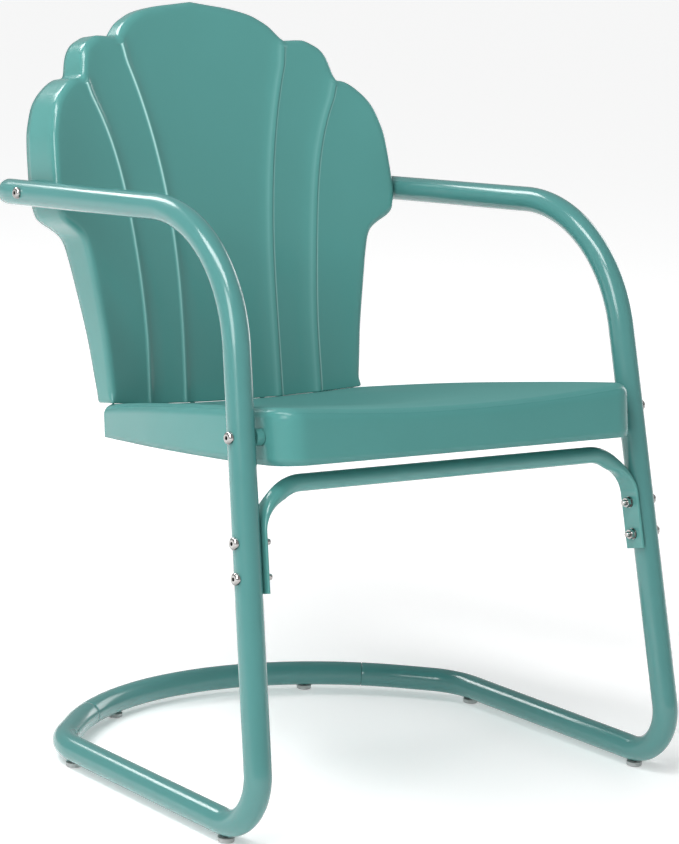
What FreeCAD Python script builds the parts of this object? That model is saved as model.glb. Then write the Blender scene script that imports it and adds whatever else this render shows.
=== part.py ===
import FreeCAD, Part
import os, math
from FreeCAD import Vector, Rotation, Placement

os.makedirs("parts", exist_ok=True)
doc = FreeCAD.newDocument("spring_lawn_chair")

# ---------------------------------------------------------------- driving dimensions (mm, degrees)
sheet = doc.addObject("Spreadsheet::Sheet", "Params")
DIMS = [
    # main frame tube and the side frame it is bent into
    ("tube_od", 28.6), ("tube_wall", 1.5),
    ("frame_half", 283.6), ("frame_lean", 2.462), ("rail_height", 19.45),
    ("upright_lean", 12.982), ("lower_bend_r", 53.1), ("upper_bend_r", 161.5),
    ("lower_vertex_y", -300.0), ("upper_vertex_y", -159.34), ("upper_vertex_up", 610.15),
    ("arm_slope", 2.953), ("arm_end_y", 266.5),
    # floor rail, its rear bend and the curved rear tube
    ("rail_bend_start", 44.7), ("rail_bend_r", 77.7), ("rail_bend_angle", 45.0), ("stub_straight", 33.0),
    ("rear_arc_r", 335.96), ("seam_angle", 53.9), ("seam_gap", 0.6),
    ("sleeve_od", 25.3), ("sleeve_wall", 1.6), ("sleeve_len", 60.0),
    # stretcher under the seat
    ("bar_od", 18.2), ("bar_wall", 1.2), ("bar_up", 361.4), ("bar_bend_r", 49.0),
    ("flat_width", 27.0), ("flat_thick", 3.2), ("flat_low", 256.0), ("press_start", 0.36),
    # fasteners
    ("bolt_d", 6.0), ("bolt_hole", 6.6), ("head_d", 13.0), ("head_h", 4.2), ("socket_af", 4.0), ("socket_deep", 2.6),
    ("nut_af", 10.0), ("nut_h", 5.0), ("washer_od", 12.5), ("washer_t", 1.4),
    ("bar_bolt_high", 307.5), ("bar_bolt_low", 273.0), ("seat_bolt_up", 410.3), ("arm_bolt_y", 226.0),
    # glides
    ("glide_d", 17.6), ("glide_inset", 1.2), ("glide_front_y", -240.7), ("glide_rear_y", 48.7), ("glide_bar_x", 137.4),
    ("stem_d", 6.0),
    # seat pan
    ("seat_tilt", 8.2), ("seat_y", -40.0), ("seat_up", 415.6), ("sheet_t", 1.2),
    ("seat_roll", 13.0), ("seat_trough_r", 2618.0), ("seat_sag", 11.0), ("seat_half_width", 243.0),
    ("seat_front", 207.4), ("seat_rear", 244.0), ("seat_corner_r", 32.0), ("seat_rear_corner_r", 12.0), ("dish_deep", 7.0), ("dish_r", 150.0), ("rear_drop", 4.5),
    ("skirt_deep", 53.5), ("skirt_wedge", 1.741),
    # back shell
    ("back_tilt", 8.0), ("back_y", 177.0), ("back_up", 372.0), ("wrap_r", 806.0), ("bow_r", 2270.0), ("bow_low", -32.0),
    ("rear_plane_w", 9.8), ("rear_plane_slope", 7.6), ("pleat_r", 9.0), ("pleat_proud", 3.2), ("flange_deep", 19.0),
    ("origin_shift", 5.95),
]
for i, (alias, value) in enumerate(DIMS):
    cell = "B%d" % (i + 1)
    sheet.set("A%d" % (i + 1), alias.replace("_", " "))
    sheet.set(cell, repr(value))
    sheet.setAlias(cell, alias)
doc.recompute()


def P(alias):
    return float(sheet.get(alias))


SHIFT = P("origin_shift")
LEAN = math.radians(P("frame_lean"))
UPL = math.radians(P("upright_lean"))
RO = P("tube_od") / 2.0
NODES = []          # (object, node name)
VOLCHECK = []


def role_plane(body, role):
    for f in body.Origin.OriginFeatures:
        if f.Role == role:
            return f
    raise RuntimeError("no plane " + role)


def new_body(label):
    b = doc.addObject("PartDesign::Body", label)
    b.Label = label
    return b


def new_sketch(body, name, role, offset=None):
    s = body.newObject("Sketcher::SketchObject", name)
    s.AttachmentSupport = [(role_plane(body, role), "")]
    s.MapMode = "FlatFace"
    if offset is not None:
        s.AttachmentOffset = offset
    return s


def keep(obj, node):
    obj.Label = node
    NODES.append((obj, node))


def bind(obj, prop, expr):
    obj.setExpression(prop, expr)


# ---------------------------------------------------------------- sketch helpers
import Sketcher
V2 = lambda x, y: Vector(x, y, 0)


def bent_path(sk, verts, radii, radius_alias=None):
    """open chain line / arc / line ... along the polygon verts with bend radii; returns end points and directions"""
    pts = [V2(*v) for v in verts]
    geo = []
    cur = pts[0]
    for i, r in enumerate(radii):
        v = pts[i + 1]
        a = (pts[i] - v).normalize()
        b = (pts[i + 2] - v).normalize()
        ang = a.getAngle(b)
        t = r / math.tan(ang / 2)
        p1 = v + a * t
        p2 = v + b * t
        bis = (a + b).normalize()
        c = v + bis * (r / math.sin(ang / 2))
        mid = c - bis * r
        geo.append(("L", cur, p1))
        geo.append(("A", p1, mid, p2, c, r))
        cur = p2
    geo.append(("L", cur, pts[-1]))
    ids = []
    for g in geo:
        if g[0] == "L":
            ids.append(sk.addGeometry(Part.LineSegment(g[1], g[2]), False))
        else:
            ids.append(sk.addGeometry(Part.Arc(g[1], g[2], g[3]), False))
    for k in range(len(ids) - 1):
        # which end of an arc is its start depends on its turning sense
        def end_of(gi, first):
            g = geo[gi]
            if g[0] == "L":
                return 1 if first else 2
            p = g[1] if first else g[3]
            q = sk.getPoint(ids[gi], 1)
            return 1 if (q - p).Length < 1e-6 else 2
        sk.addConstraint(Sketcher.Constraint("Tangent", ids[k], end_of(k, False), ids[k + 1], end_of(k + 1, True)))
    for k, g in enumerate(geo):
        if g[0] == "A":
            c = sk.addConstraint(Sketcher.Constraint("Radius", ids[k], g[5]))
            if radius_alias:
                al = radius_alias[(k - 1) // 2]
                if al:
                    sk.setExpression("Constraints[%d]" % c, "Params." + al)
    return ids


def fix_point(sk, gid, end, x, y, ex=None, ey=None):
    if abs(x) < 1e-7:
        sk.addConstraint(Sketcher.Constraint("PointOnObject", gid, end, -2))
    else:
        c = sk.addConstraint(Sketcher.Constraint("DistanceX", -1, 1, gid, end, x))
        if ex:
            sk.setExpression("Constraints[%d]" % c, ex)
    if abs(y) < 1e-7:
        sk.addConstraint(Sketcher.Constraint("PointOnObject", gid, end, -1))
    else:
        c = sk.addConstraint(Sketcher.Constraint("DistanceY", -1, 1, gid, end, y))
        if ey:
            sk.setExpression("Constraints[%d]" % c, ey)


def ring_sketch(body, name, role, offset, r_out_expr, r_in_expr, r_out, r_in):
    s = new_sketch(body, name, role, offset)
    g = s.addGeometry(Part.Circle(V2(0, 0), Vector(0, 0, 1), r_out), False)
    s.addConstraint(Sketcher.Constraint("Coincident", g, 3, -1, 1))
    c = s.addConstraint(Sketcher.Constraint("Radius", g, r_out))
    s.setExpression("Constraints[%d]" % c, r_out_expr)
    if r_in:
        g2 = s.addGeometry(Part.Circle(V2(0, 0), Vector(0, 0, 1), r_in), False)
        s.addConstraint(Sketcher.Constraint("Coincident", g2, 3, -1, 1))
        c = s.addConstraint(Sketcher.Constraint("Radius", g2, r_in))
        s.setExpression("Constraints[%d]" % c, r_in_expr)
    return s


def pipe(body, name, profile, path, n):
    f = body.newObject("PartDesign::AdditivePipe", name)
    f.Profile = profile
    f.Spine = (path, ["Edge%d" % (i + 1) for i in range(n)])
    f.Mode = "Standard"
    path.Visibility = False
    return f


# ---------------------------------------------------------------- side frames
# Each side of the chair is one bent tube: arm, upright, lower front bend and floor rail, all in a plane that leans
# inwards. It is kept as three pieces that meet end to end, because the lower front bend is the spring.
V_UP = (P("upper_vertex_y"), P("upper_vertex_up"))
V_LOW = (P("lower_vertex_y"), 0.0)
UP_DIR = ((V_UP[0] - V_LOW[0]), (V_UP[1] - V_LOW[1]))
L_ = math.hypot(*UP_DIR)
UP_DIR = (UP_DIR[0] / L_, UP_DIR[1] / L_)
INT_LOW = math.acos(UP_DIR[0])                                  # between rail (+Y) and upright
T_LOW = P("lower_bend_r") / math.tan(INT_LOW / 2)
BEND_TOP = (V_LOW[0] + UP_DIR[0] * T_LOW, UP_DIR[1] * T_LOW)     # where the bend meets the upright
BEND_REAR = (V_LOW[0] + T_LOW, 0.0)                              # where the bend meets the floor rail
ARM_END = (P("arm_end_y"), V_UP[1] - (P("arm_end_y") - V_UP[0]) * math.tan(math.radians(P("arm_slope"))))


def side_place(s):
    return Placement(Vector(s * P("frame_half"), -SHIFT, P("rail_height")), Rotation(Vector(0, 1, 0), -s * P("frame_lean")))


def bind_side(b, s):
    bind(b, ".Placement.Base.x", "%s Params.frame_half" % ("-1 *" if s < 0 else "1 *"))
    bind(b, ".Placement.Base.y", "-Params.origin_shift")
    bind(b, ".Placement.Base.z", "Params.rail_height")


def frame_x(z):
    """distance of the side tube's centre from the mid plane at a height"""
    return P("frame_half") - math.tan(LEAN) * (z - P("rail_height"))


def upright_y(z):
    return V_LOW[0] + (z - P("rail_height")) * UP_DIR[0] / UP_DIR[1]


def arm_z(y):
    return (V_UP[1] - (y - V_UP[0]) * math.tan(math.radians(P("arm_slope")))) * math.cos(LEAN) + P("rail_height")


SEAT_BOLT = (upright_y(P("seat_bolt_up")), P("seat_bolt_up"))
ARM_BOLT = (P("arm_bolt_y"), arm_z(P("arm_bolt_y")))
BAR_BOLTS = [(upright_y(P(a)), P(a)) for a in ("bar_bolt_high", "bar_bolt_low")]


def hole_sketch(body, name, spots):
    """round bolt holes along X, drawn in the side frame's own plane"""
    s = new_sketch(body, name, "YZ_Plane")
    for (y, z) in spots:
        g = s.addGeometry(Part.Circle(V2(y, (z - P("rail_height")) / math.cos(LEAN)), Vector(0, 0, 1), P("bolt_hole") / 2), False)
        c = s.addConstraint(Sketcher.Constraint("Radius", g, P("bolt_hole") / 2))
        s.setExpression("Constraints[%d]" % c, "Params.bolt_hole / 2")
        fix_point(s, g, 3, y, (z - P("rail_height")) / math.cos(LEAN))
    return s


def through(body, name, sk):
    f = body.newObject("PartDesign::Pocket", name)
    f.Profile = sk
    f.Type = 1
    f.Midplane = True
    sk.Visibility = False
    return f


for s, side in ((-1, "left"), (1, "right")):
    # arm and upright
    b = new_body(side + "_arm_tube")
    path = new_sketch(b, side + "_arm_path", "YZ_Plane")
    ids = bent_path(path, [ARM_END, V_UP, BEND_TOP], [P("upper_bend_r")], ["upper_bend_r"])
    fix_point(path, ids[0], 1, ARM_END[0], ARM_END[1], "Params.arm_end_y")
    fix_point(path, ids[-1], 2, BEND_TOP[0], BEND_TOP[1])
    a = path.addConstraint(Sketcher.Constraint("Angle", ids[-1], math.atan2(-UP_DIR[1], -UP_DIR[0])))
    path.setExpression("Constraints[%d]" % a, "-(90deg + Params.upright_lean * 1deg)")
    a = path.addConstraint(Sketcher.Constraint("Angle", ids[0], math.atan2(V_UP[1] - ARM_END[1], V_UP[0] - ARM_END[0])))
    path.setExpression("Constraints[%d]" % a, "180deg - Params.arm_slope * 1deg")
    off = Placement(Vector(0, BEND_TOP[0], BEND_TOP[1]), Rotation(Vector(1, 0, 0), -math.degrees(math.atan2(UP_DIR[0], UP_DIR[1]))))
    prof = ring_sketch(b, side + "_arm_ring", "XY_Plane", off, "Params.tube_od / 2", "Params.tube_od / 2 - Params.tube_wall", RO, RO - P("tube_wall"))
    doc.recompute()
    pipe(b, side + "_arm_sweep", prof, path, 3)
    doc.recompute()
    v0 = b.Shape.Volume
    hs = hole_sketch(b, side + "_arm_holes", [SEAT_BOLT, ARM_BOLT] + BAR_BOLTS)
    doc.recompute()
    through(b, side + "_arm_bolt_holes", hs)
    b.Placement = side_place(s)
    bind_side(b, s)
    doc.recompute()
    VOLCHECK.append((side + " arm holes", v0, b.Shape.Volume))
    keep(b, side + "_arm_tube")

    # lower front bend: the spring
    b = new_body(side + "_spring_bend")
    path = new_sketch(b, side + "_bend_path", "YZ_Plane")
    r = P("lower_bend_r")
    cy, cz = BEND_REAR[0], r
    a0 = math.atan2(BEND_TOP[1] - cz, BEND_TOP[0] - cy)
    am = (a0 + (-math.pi / 2 - 2 * math.pi if a0 > 0 else -math.pi / 2)) / 2
    a0p = a0 if a0 > 0 else a0 + 2 * math.pi
    am = (a0p + 1.5 * math.pi) / 2
    g = path.addGeometry(Part.Arc(V2(*BEND_TOP), V2(cy + r * math.cos(am), cz + r * math.sin(am)), V2(*BEND_REAR)), False)
    c = path.addConstraint(Sketcher.Constraint("Radius", g, r))
    path.setExpression("Constraints[%d]" % c, "Params.lower_bend_r")
    e = 1 if (path.getPoint(g, 1) - V2(*BEND_TOP)).Length < 1e-6 else 2
    path.addConstraint(Sketcher.Constraint("DistanceY", -1, 1, g, e, BEND_TOP[1]))
    path.addConstraint(Sketcher.Constraint("DistanceX", -1, 1, g, 3 - e, BEND_REAR[0]))
    fix_point(path, g, 3, cy, cz, None, "Params.lower_bend_r")
    prof = ring_sketch(b, side + "_bend_ring", "XZ_Plane", Placement(Vector(0, 0, -BEND_REAR[0]), Rotation()), "Params.tube_od / 2", "Params.tube_od / 2 - Params.tube_wall", RO, RO - P("tube_wall"))
    doc.recompute()
    pipe(b, side + "_bend_sweep", prof, path, 1)
    doc.recompute()
    v0 = b.Shape.Volume
    hs = new_sketch(b, side + "_bend_stem_sketch", "XY_Plane")
    g = hs.addGeometry(Part.Circle(V2(0, P("glide_front_y")), Vector(0, 0, 1), P("stem_d") / 2 + 0.5), False)
    fix_point(hs, g, 3, 0.0, P("glide_front_y"), None, "Params.glide_front_y")
    hs.addConstraint(Sketcher.Constraint("Radius", g, P("stem_d") / 2 + 0.5))
    doc.recompute()
    f = b.newObject("PartDesign::Pocket", side + "_bend_stem_hole")
    f.Profile = hs
    f.Type = 0
    f.Length = 20
    hs.Visibility = False
    b.Placement = side_place(s)
    bind_side(b, s)
    doc.recompute()
    VOLCHECK.append((side + " bend hole", v0, b.Shape.Volume))
    keep(b, side + "_spring_bend")

# ---------------------------------------------------------------- floor rails and rear tube
ra = math.radians(P("rail_bend_angle"))
RB = P("rail_bend_r")
E1 = (P("frame_half") - RB * (1 - math.cos(ra)), P("rail_bend_start") + RB * math.sin(ra))       # end of rear bend
E2 = (E1[0] - math.sin(ra) * P("stub_straight"), E1[1] + math.cos(ra) * P("stub_straight"))      # start of big arc
RA = P("rear_arc_r")
CARC = (E2[0] - RA * math.cos(ra), E2[1] - RA * math.sin(ra))


def on_arc(deg):
    t = math.radians(deg)
    return (CARC[0] + RA * math.cos(t), CARC[1] + RA * math.sin(t))


SEAM = P("seam_angle")
gap_deg = math.degrees(P("seam_gap") / 2 / RA)
for s, side in ((-1, "left"), (1, "right")):
    b = new_body(side + "_floor_rail")
    path = new_sketch(b, side + "_rail_path", "XY_Plane")
    q0 = V2(s * P("frame_half"), BEND_REAR[0] + 0.05)
    q1 = V2(s * P("frame_half"), P("rail_bend_start"))
    c1 = V2(s * (P("frame_half") - RB), P("rail_bend_start"))
    qm = V2(s * (P("frame_half") - RB + RB * math.cos(ra / 2)), P("rail_bend_start") + RB * math.sin(ra / 2))
    q2 = V2(s * E1[0], E1[1])
    q3 = V2(s * E2[0], E2[1])
    e4 = on_arc(SEAM - gap_deg)
    em = on_arc((P("rail_bend_angle") + SEAM) / 2)
    q4 = V2(s * e4[0], e4[1])
    g0 = path.addGeometry(Part.LineSegment(q0, q1), False)
    g1 = path.addGeometry(Part.Arc(q1, qm, q2), False)
    g2 = path.addGeometry(Part.LineSegment(q2, q3), False)
    g3 = path.addGeometry(Part.Arc(q3, V2(s * em[0], em[1]), q4), False)

    def pe(g, p):
        return 1 if (path.getPoint(g, 1) - p).Length < 1e-6 else 2
    path.addConstraint(Sketcher.Constraint("Tangent", g0, 2, g1, pe(g1, q1)))
    path.addConstraint(Sketcher.Constraint("Tangent", g1, pe(g1, q2), g2, 1))
    path.addConstraint(Sketcher.Constraint("Tangent", g2, 2, g3, pe(g3, q3)))
    c = path.addConstraint(Sketcher.Constraint("Radius", g1, RB))
    path.setExpression("Constraints[%d]" % c, "Params.rail_bend_r")
    path.addConstraint(Sketcher.Constraint("Vertical", g0))
    fix_point(path, g0, 1, q0.x, q0.y, ("-1 * " if s < 0 else "") + "Params.frame_half")
    c = path.addConstraint(Sketcher.Constraint("DistanceY", -1, 1, g1, 3, c1.y))
    path.setExpression("Constraints[%d]" % c, "Params.rail_bend_start")
    fix_point(path, g3, 3, s * CARC[0], CARC[1])
    fix_point(path, g3, pe(g3, q4), q4.x, q4.y)
    prof = ring_sketch(b, side + "_rail_ring", "XZ_Plane", Placement(Vector(q0.x, 0, -q0.y), Rotation()), "Params.tube_od / 2", "Params.tube_od / 2 - Params.tube_wall", RO, RO - P("tube_wall"))
    doc.recompute()
    pipe(b, side + "_rail_sweep", prof, path, 4)
    doc.recompute()
    v0 = b.Shape.Volume
    hs = new_sketch(b, side + "_rail_holes", "XY_Plane")
    gx = 0.0
    for y in (P("glide_front_y"), P("glide_rear_y")):
        if y < BEND_REAR[0]:
            continue
        g = hs.addGeometry(Part.Circle(V2(s * P("frame_half"), y), Vector(0, 0, 1), P("stem_d") / 2 + 0.15), False)
        fix_point(hs, g, 3, s * P("frame_half"), y)
        hs.addConstraint(Sketcher.Constraint("Radius", g, P("stem_d") / 2 + 0.15))
    doc.recompute()
    f = b.newObject("PartDesign::Pocket", side + "_rail_stem_holes")
    f.Profile = hs
    f.Type = 0
    f.Length = 20
    hs.Visibility = False
    b.Placement = Placement(Vector(0, -SHIFT, P("rail_height")), Rotation())
    bind(b, ".Placement.Base.y", "-Params.origin_shift")
    bind(b, ".Placement.Base.z", "Params.rail_height")
    doc.recompute()
    VOLCHECK.append((side + " rail holes", v0, b.Shape.Volume))
    keep(b, side + "_floor_rail")

b = new_body("rear_base_tube")
path = new_sketch(b, "rear_tube_path", "XY_Plane")
r0 = on_arc(SEAM + gap_deg)
top = (0.0, CARC[1] + math.sqrt(RA ** 2 - CARC[0] ** 2))
g = path.addGeometry(Part.Arc(V2(r0[0], r0[1]), V2(*top), V2(-r0[0], r0[1])), False)
c = path.addConstraint(Sketcher.Constraint("Radius", g, path.Geometry[0].Radius))
pr = path.getPoint(g, 1)
sx = 1 if pr.x > 0 else -1
fix_point(path, g, 1, sx * r0[0], r0[1])
fix_point(path, g, 2, -sx * r0[0], r0[1])
tdir = math.degrees(math.atan2(r0[1] - path.Geometry[0].Center.y, r0[0]))
off = Placement(Vector(r0[0], r0[1], 0), Rotation(Vector(0, 0, 1), tdir) * Rotation(Vector(1, 0, 0), 90))
prof = ring_sketch(b, "rear_tube_ring", "XY_Plane", off, "Params.tube_od / 2", "Params.tube_od / 2 - Params.tube_wall", RO, RO - P("tube_wall"))
doc.recompute()
pipe(b, "rear_tube_sweep", prof, path, 1)
doc.recompute()
v0 = b.Shape.Volume
hs = new_sketch(b, "rear_tube_holes", "XY_Plane")
gy = path.Geometry[0].Center.y + math.sqrt(path.Geometry[0].Radius ** 2 - P("glide_bar_x") ** 2)
for s in (-1, 1):
    g = hs.addGeometry(Part.Circle(V2(s * P("glide_bar_x"), gy), Vector(0, 0, 1), P("stem_d") / 2 + 0.15), False)
    fix_point(hs, g, 3, s * P("glide_bar_x"), gy, ("-1 * " if s < 0 else "") + "Params.glide_bar_x")
    hs.addConstraint(Sketcher.Constraint("Radius", g, P("stem_d") / 2 + 0.15))
doc.recompute()
f = b.newObject("PartDesign::Pocket", "rear_tube_stem_holes")
f.Profile = hs
f.Type = 0
f.Length = 20
hs.Visibility = False
b.Placement = Placement(Vector(0, -SHIFT, P("rail_height")), Rotation())
bind(b, ".Placement.Base.y", "-Params.origin_shift")
bind(b, ".Placement.Base.z", "Params.rail_height")
doc.recompute()
VOLCHECK.append(("rear tube holes", v0, b.Shape.Volume))
keep(b, "rear_base_tube")
GLIDE_BAR_Y = gy


# ---------------------------------------------------------------- shapes shared by the fasteners
Z = Vector(0, 0, 1)


def feature(node, shape, pos=Vector(0, 0, 0)):
    f = doc.addObject("Part::Feature", node)
    f.Shape = shape
    f.Placement = Placement(pos, Rotation())
    keep(f, node)
    return f


def group(solids):
    return Part.makeCompound(solids)


def hexagon(af, z0, z1):
    rr = af / math.sqrt(3)
    pts = [Vector(rr * math.cos(math.radians(60 * k + 30)), rr * math.sin(math.radians(60 * k + 30)), z0) for k in range(6)]
    return Part.Face(Part.makePolygon(pts + [pts[0]])).extrude(Vector(0, 0, z1 - z0))


def bolt_shape(length):
    """button head on the +Z side of the origin, shank towards -Z"""
    head = Part.makeCylinder(P("head_d") / 2, P("head_h"))
    top = [e for e in head.Edges if abs(e.BoundBox.ZMin - P("head_h")) < 1e-6 and abs(e.BoundBox.ZMax - P("head_h")) < 1e-6]
    head = head.makeFillet(P("head_h") * 0.72, top)
    head = head.cut(hexagon(P("socket_af"), P("head_h") - P("socket_deep"), P("head_h") + 1))
    shank = Part.makeCylinder(P("bolt_d") / 2, length, Vector(0, 0, -length))
    low = [e for e in shank.Edges if abs(e.BoundBox.ZMax + length) < 1e-6]
    shank = shank.makeChamfer(0.6, low)
    return head.fuse(shank).removeSplitter()


def nut_shape():
    """hexagon nut whose bearing face is at the origin and whose body runs towards -Z"""
    n = hexagon(P("nut_af"), -P("nut_h"), 0)
    crown = Part.makeCone(P("nut_af") / 2 + P("nut_h") * 1.4, P("nut_af") / 2 - 0.35, P("nut_h") * 1.0 + 0.35 / 1.4, Vector(0, 0, 0), Vector(0, 0, -1))
    n = n.common(crown)
    return n.cut(Part.makeCylinder(P("bolt_d") / 2 + 0.08, 30, Vector(0, 0, -15)))


def washer_shape():
    w = Part.makeCylinder(P("washer_od") / 2, P("washer_t"), Vector(0, 0, -P("washer_t")))
    return w.cut(Part.makeCylinder(P("bolt_d") / 2 + 0.25, 10, Vector(0, 0, -5)))


def put(shape, pos, axis, spin=0.0):
    """moves a shape made along Z so that its +Z lies along the axis"""
    q = shape.copy()
    q.Placement = Placement(pos, Rotation(Z, axis) * Rotation(Z, spin))
    return q


def side_out(s):
    """outward normal of a side frame's plane"""
    return Vector(s * math.cos(LEAN), 0, math.sin(LEAN))


def side_point(s, y, z, off):
    """point on the tube's middle plane at a height, moved outwards by off"""
    return Vector(s * frame_x(z), y - SHIFT, z) + side_out(s) * off


# ---------------------------------------------------------------- glides
glides, stems = [], []
spots = [(s * (frame_x(5) - 0.6), P("glide_front_y")) for s in (-1, 1)]
spots += [(s * P("frame_half"), P("glide_rear_y")) for s in (-1, 1)]
spots += [(s * P("glide_bar_x"), GLIDE_BAR_Y) for s in (-1, 1)]
for (x, y) in spots:
    h = P("rail_height") - RO - 0.15
    g = Part.makeCylinder(P("glide_d") / 2, h)
    low = [e for e in g.Edges if e.BoundBox.ZMax < 0.01]
    g = g.makeFillet(1.8, low)
    g = g.cut(Part.makeCylinder(P("stem_d") / 2 + 0.1, h, Vector(0, 0, 1.8)))
    g.translate(Vector(x, y - SHIFT, 0))
    glides.append(g)
    st = Part.makeCylinder(P("stem_d") / 2, 12.5, Vector(0, 0, 1.9))
    st = st.makeFillet(1.2, [e for e in st.Edges if e.BoundBox.ZMin > 14])
    st.translate(Vector(x, y - SHIFT, 0))
    stems.append(st)
feature("floor_glides", group(glides))
feature("glide_screws", group(stems))

# ---------------------------------------------------------------- arm end plugs
plugs = []
arm_dir_l = Vector(0, 1, -math.tan(math.radians(P("arm_slope")))).normalize()
for s in (-1, 1):
    stem = Part.makeCylinder(RO - P("tube_wall") - 0.12, 14, Vector(0, 0, -14))
    dome_h = 6.6
    e1 = Part.LineSegment(Vector(0, 0, 0.1), Vector(RO - 0.05, 0, 0.1)).toShape()
    e2 = Part.BSplineCurve()
    pts = [Vector((RO - 0.05) * math.cos(t * math.pi / 12), 0, 0.1 + dome_h * math.sin(t * math.pi / 12)) for t in range(7)]
    e2.interpolate(pts)
    e3 = Part.LineSegment(pts[-1], Vector(0, 0, 0.1)).toShape()
    dome = Part.Face(Part.Wire([e1, e2.toShape(), e3])).revolve(Vector(0, 0, 0), Z, 360)
    plug = stem.fuse(dome.fuse(Part.makeCylinder(RO - P("tube_wall") - 0.12, 0.3, Vector(0, 0, -0.1)))).removeSplitter()
    end = side_place(s).multVec(Vector(0, ARM_END[0], ARM_END[1]))
    d = side_place(s).Rotation.multVec(arm_dir_l)
    plugs.append(put(plug, end, d))
feature("arm_end_plugs", group(plugs))

# ---------------------------------------------------------------- sleeves inside the two seams of the base
sl = []
for s in (-1, 1):
    half = math.degrees(P("sleeve_len") / 2 / RA)
    c = Vector(s * CARC[0], CARC[1], 0)
    solid = None
    for rr_ in (P("sleeve_od") / 2, P("sleeve_od") / 2 - P("sleeve_wall")):
        disc = Part.Face(Part.Wire(Part.makeCircle(rr_, Vector(c.x + s * RA, c.y, 0), Vector(0, 1, 0))))
        disc.rotate(c, Z, s * (SEAM - half))
        turn = disc.revolve(c, Z, s * 2 * half)
        turn = Part.Solid(turn.Shells[0])
        if turn.Volume < 0:
            turn.reverse()
        solid = turn if solid is None else solid.cut(turn)
    q = solid
    q.translate(Vector(0, -SHIFT, P("rail_height")))
    sl.append(q)
feature("base_splice_sleeves", group(sl))

# ---------------------------------------------------------------- stretcher
def section(center, wide, nrm, u):
    """section of the bar: round at u = 0, pressed flat at u = 1, its outer face always on the same side"""
    rr, hw, ht = P("bar_od") / 2, P("flat_width") / 2, P("flat_thick") / 2
    e = u * u * (3 - 2 * u)
    q = rr * math.sqrt(0.5)
    mix = lambda a, b: a + (b - a) * e
    cx, cy, sx, ty = mix(q, hw - ht), mix(q, ht), mix(rr, hw), mix(rr, ht + 0.02)
    c = center + nrm * (rr - ty)
    at = lambda x, y: c + wide * x + nrm * y
    return Part.Wire([Part.Arc(at(cx, cy), at(0, ty), at(-cx, cy)).toShape(), Part.Arc(at(-cx, cy), at(-sx, 0), at(-cx, -cy)).toShape(),
                      Part.Arc(at(-cx, -cy), at(0, -ty), at(cx, -cy)).toShape(), Part.Arc(at(cx, -cy), at(sx, 0), at(cx, cy)).toShape()])


def stretcher():
    """bar bent down at both ends and pressed flat there against the side tubes, with its sealed hollow"""
    rr, rb = P("bar_od") / 2, P("bar_bend_r")
    d = side_place(1).Rotation.multVec(Vector(0, -UP_DIR[0], -UP_DIR[1]))
    leg = side_point(1, upright_y(P("bar_bolt_low")), P("bar_bolt_low"), -(RO + 0.3 + rr))
    xdir = Vector(1, 0, 0)
    corner = leg + d * ((P("bar_up") - leg.z) / d.z)
    ang = (xdir * -1).getAngle(d)
    t = rb / math.tan(ang / 2)
    p1 = corner - xdir * t
    cen = corner + ((xdir * -1 + d).normalize()) * (rb / math.sin(ang / 2))
    turn = math.pi - ang
    ux = (p1 - cen).normalize()
    uy = (xdir - ux * xdir.dot(ux)).normalize()
    wide = d.cross(xdir).normalize()
    n_leg = ux * math.cos(turn) + uy * math.sin(turn)
    end = (P("flat_low") - leg.z) / d.z
    start = (corner + d * t - leg).dot(d)
    press = turn * P("press_start")
    polar = lambda a: ux * math.cos(a) + uy * math.sin(a)
    # the pressed length, from the middle of the bend to its end
    secs = []
    for k in range(8):
        a = press + (turn - press) * k / 7
        secs.append(section(cen + polar(a) * rb, wide, polar(a), k / 7))
    flat = Part.Face(section(leg + d * start, wide, n_leg, 1.0)).extrude(d * (end - start))
    round_ = Part.Wire([Part.LineSegment(Vector(0, p1.y, p1.z), p1).toShape(), Part.Arc(p1, cen + polar(press / 2) * rb, cen + polar(press) * rb).toShape()])
    half = round_.makePipeShell([section(Vector(0, p1.y, p1.z), wide, ux, 0.0)], True, False)
    half = half.fuse(Part.makeLoft(secs, True, False)).fuse(flat)
    bar = half.fuse(half.mirror(Vector(0, 0, 0), Vector(1, 0, 0))).removeSplitter()
    return bar.cut(Part.makeCylinder(rr - P("bar_wall"), 2 * p1.x - 6, Vector(3 - p1.x, p1.y, p1.z), Vector(1, 0, 0)))


bar = stretcher()
for s in (-1, 1):
    for (y, z) in BAR_BOLTS:
        bar = bar.cut(put(Part.makeCylinder(P("bolt_hole") / 2, 40, Vector(0, 0, -20)), side_point(s, y, z, -RO), side_out(s)))
feature("seat_crossbar", bar)

# ---------------------------------------------------------------- seat pan
T = P("sheet_t")
SEAT_O = Vector(0, P("seat_y") - SHIFT, P("seat_up"))
SEAT_ROT = Rotation(Vector(1, 0, 0), -P("seat_tilt"))


def patch(us, vs, fn):
    """smooth surface through a grid of points; us and vs are lists, fn gives the point"""
    s = Part.BSplineSurface()
    s.interpolate([[fn(u, v) for v in vs] for u in us])
    return s


def rolled(body, radius, edges):
    """rounds the rim; if the full radius can't be made, the nearest smaller one"""
    for k in (1.0, 0.97, 0.94, 0.9, 0.85, 0.8, 0.7):
        try:
            q = body.makeFillet(radius * k, edges)
        except Exception:
            continue
        if q.isValid() and 0 < body.Volume - q.Volume < body.Volume * 0.05:
            return q
    raise RuntimeError("rim can't be rounded")


def spline(pts):
    c = Part.BSplineCurve()
    c.interpolate(pts)
    return c


SEAT_SIDE = [(-172.0, 243.0), (-140.0, 242.2), (-99.0, 239.0), (-40.6, 231.5), (17.8, 222.5), (82.2, 211.0), (141.6, 198.0), (186.9, 188.0), (224.0, 179.5)]
SEAT_FRONT, SEAT_REAR = -P("seat_front"), P("seat_rear")


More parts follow.
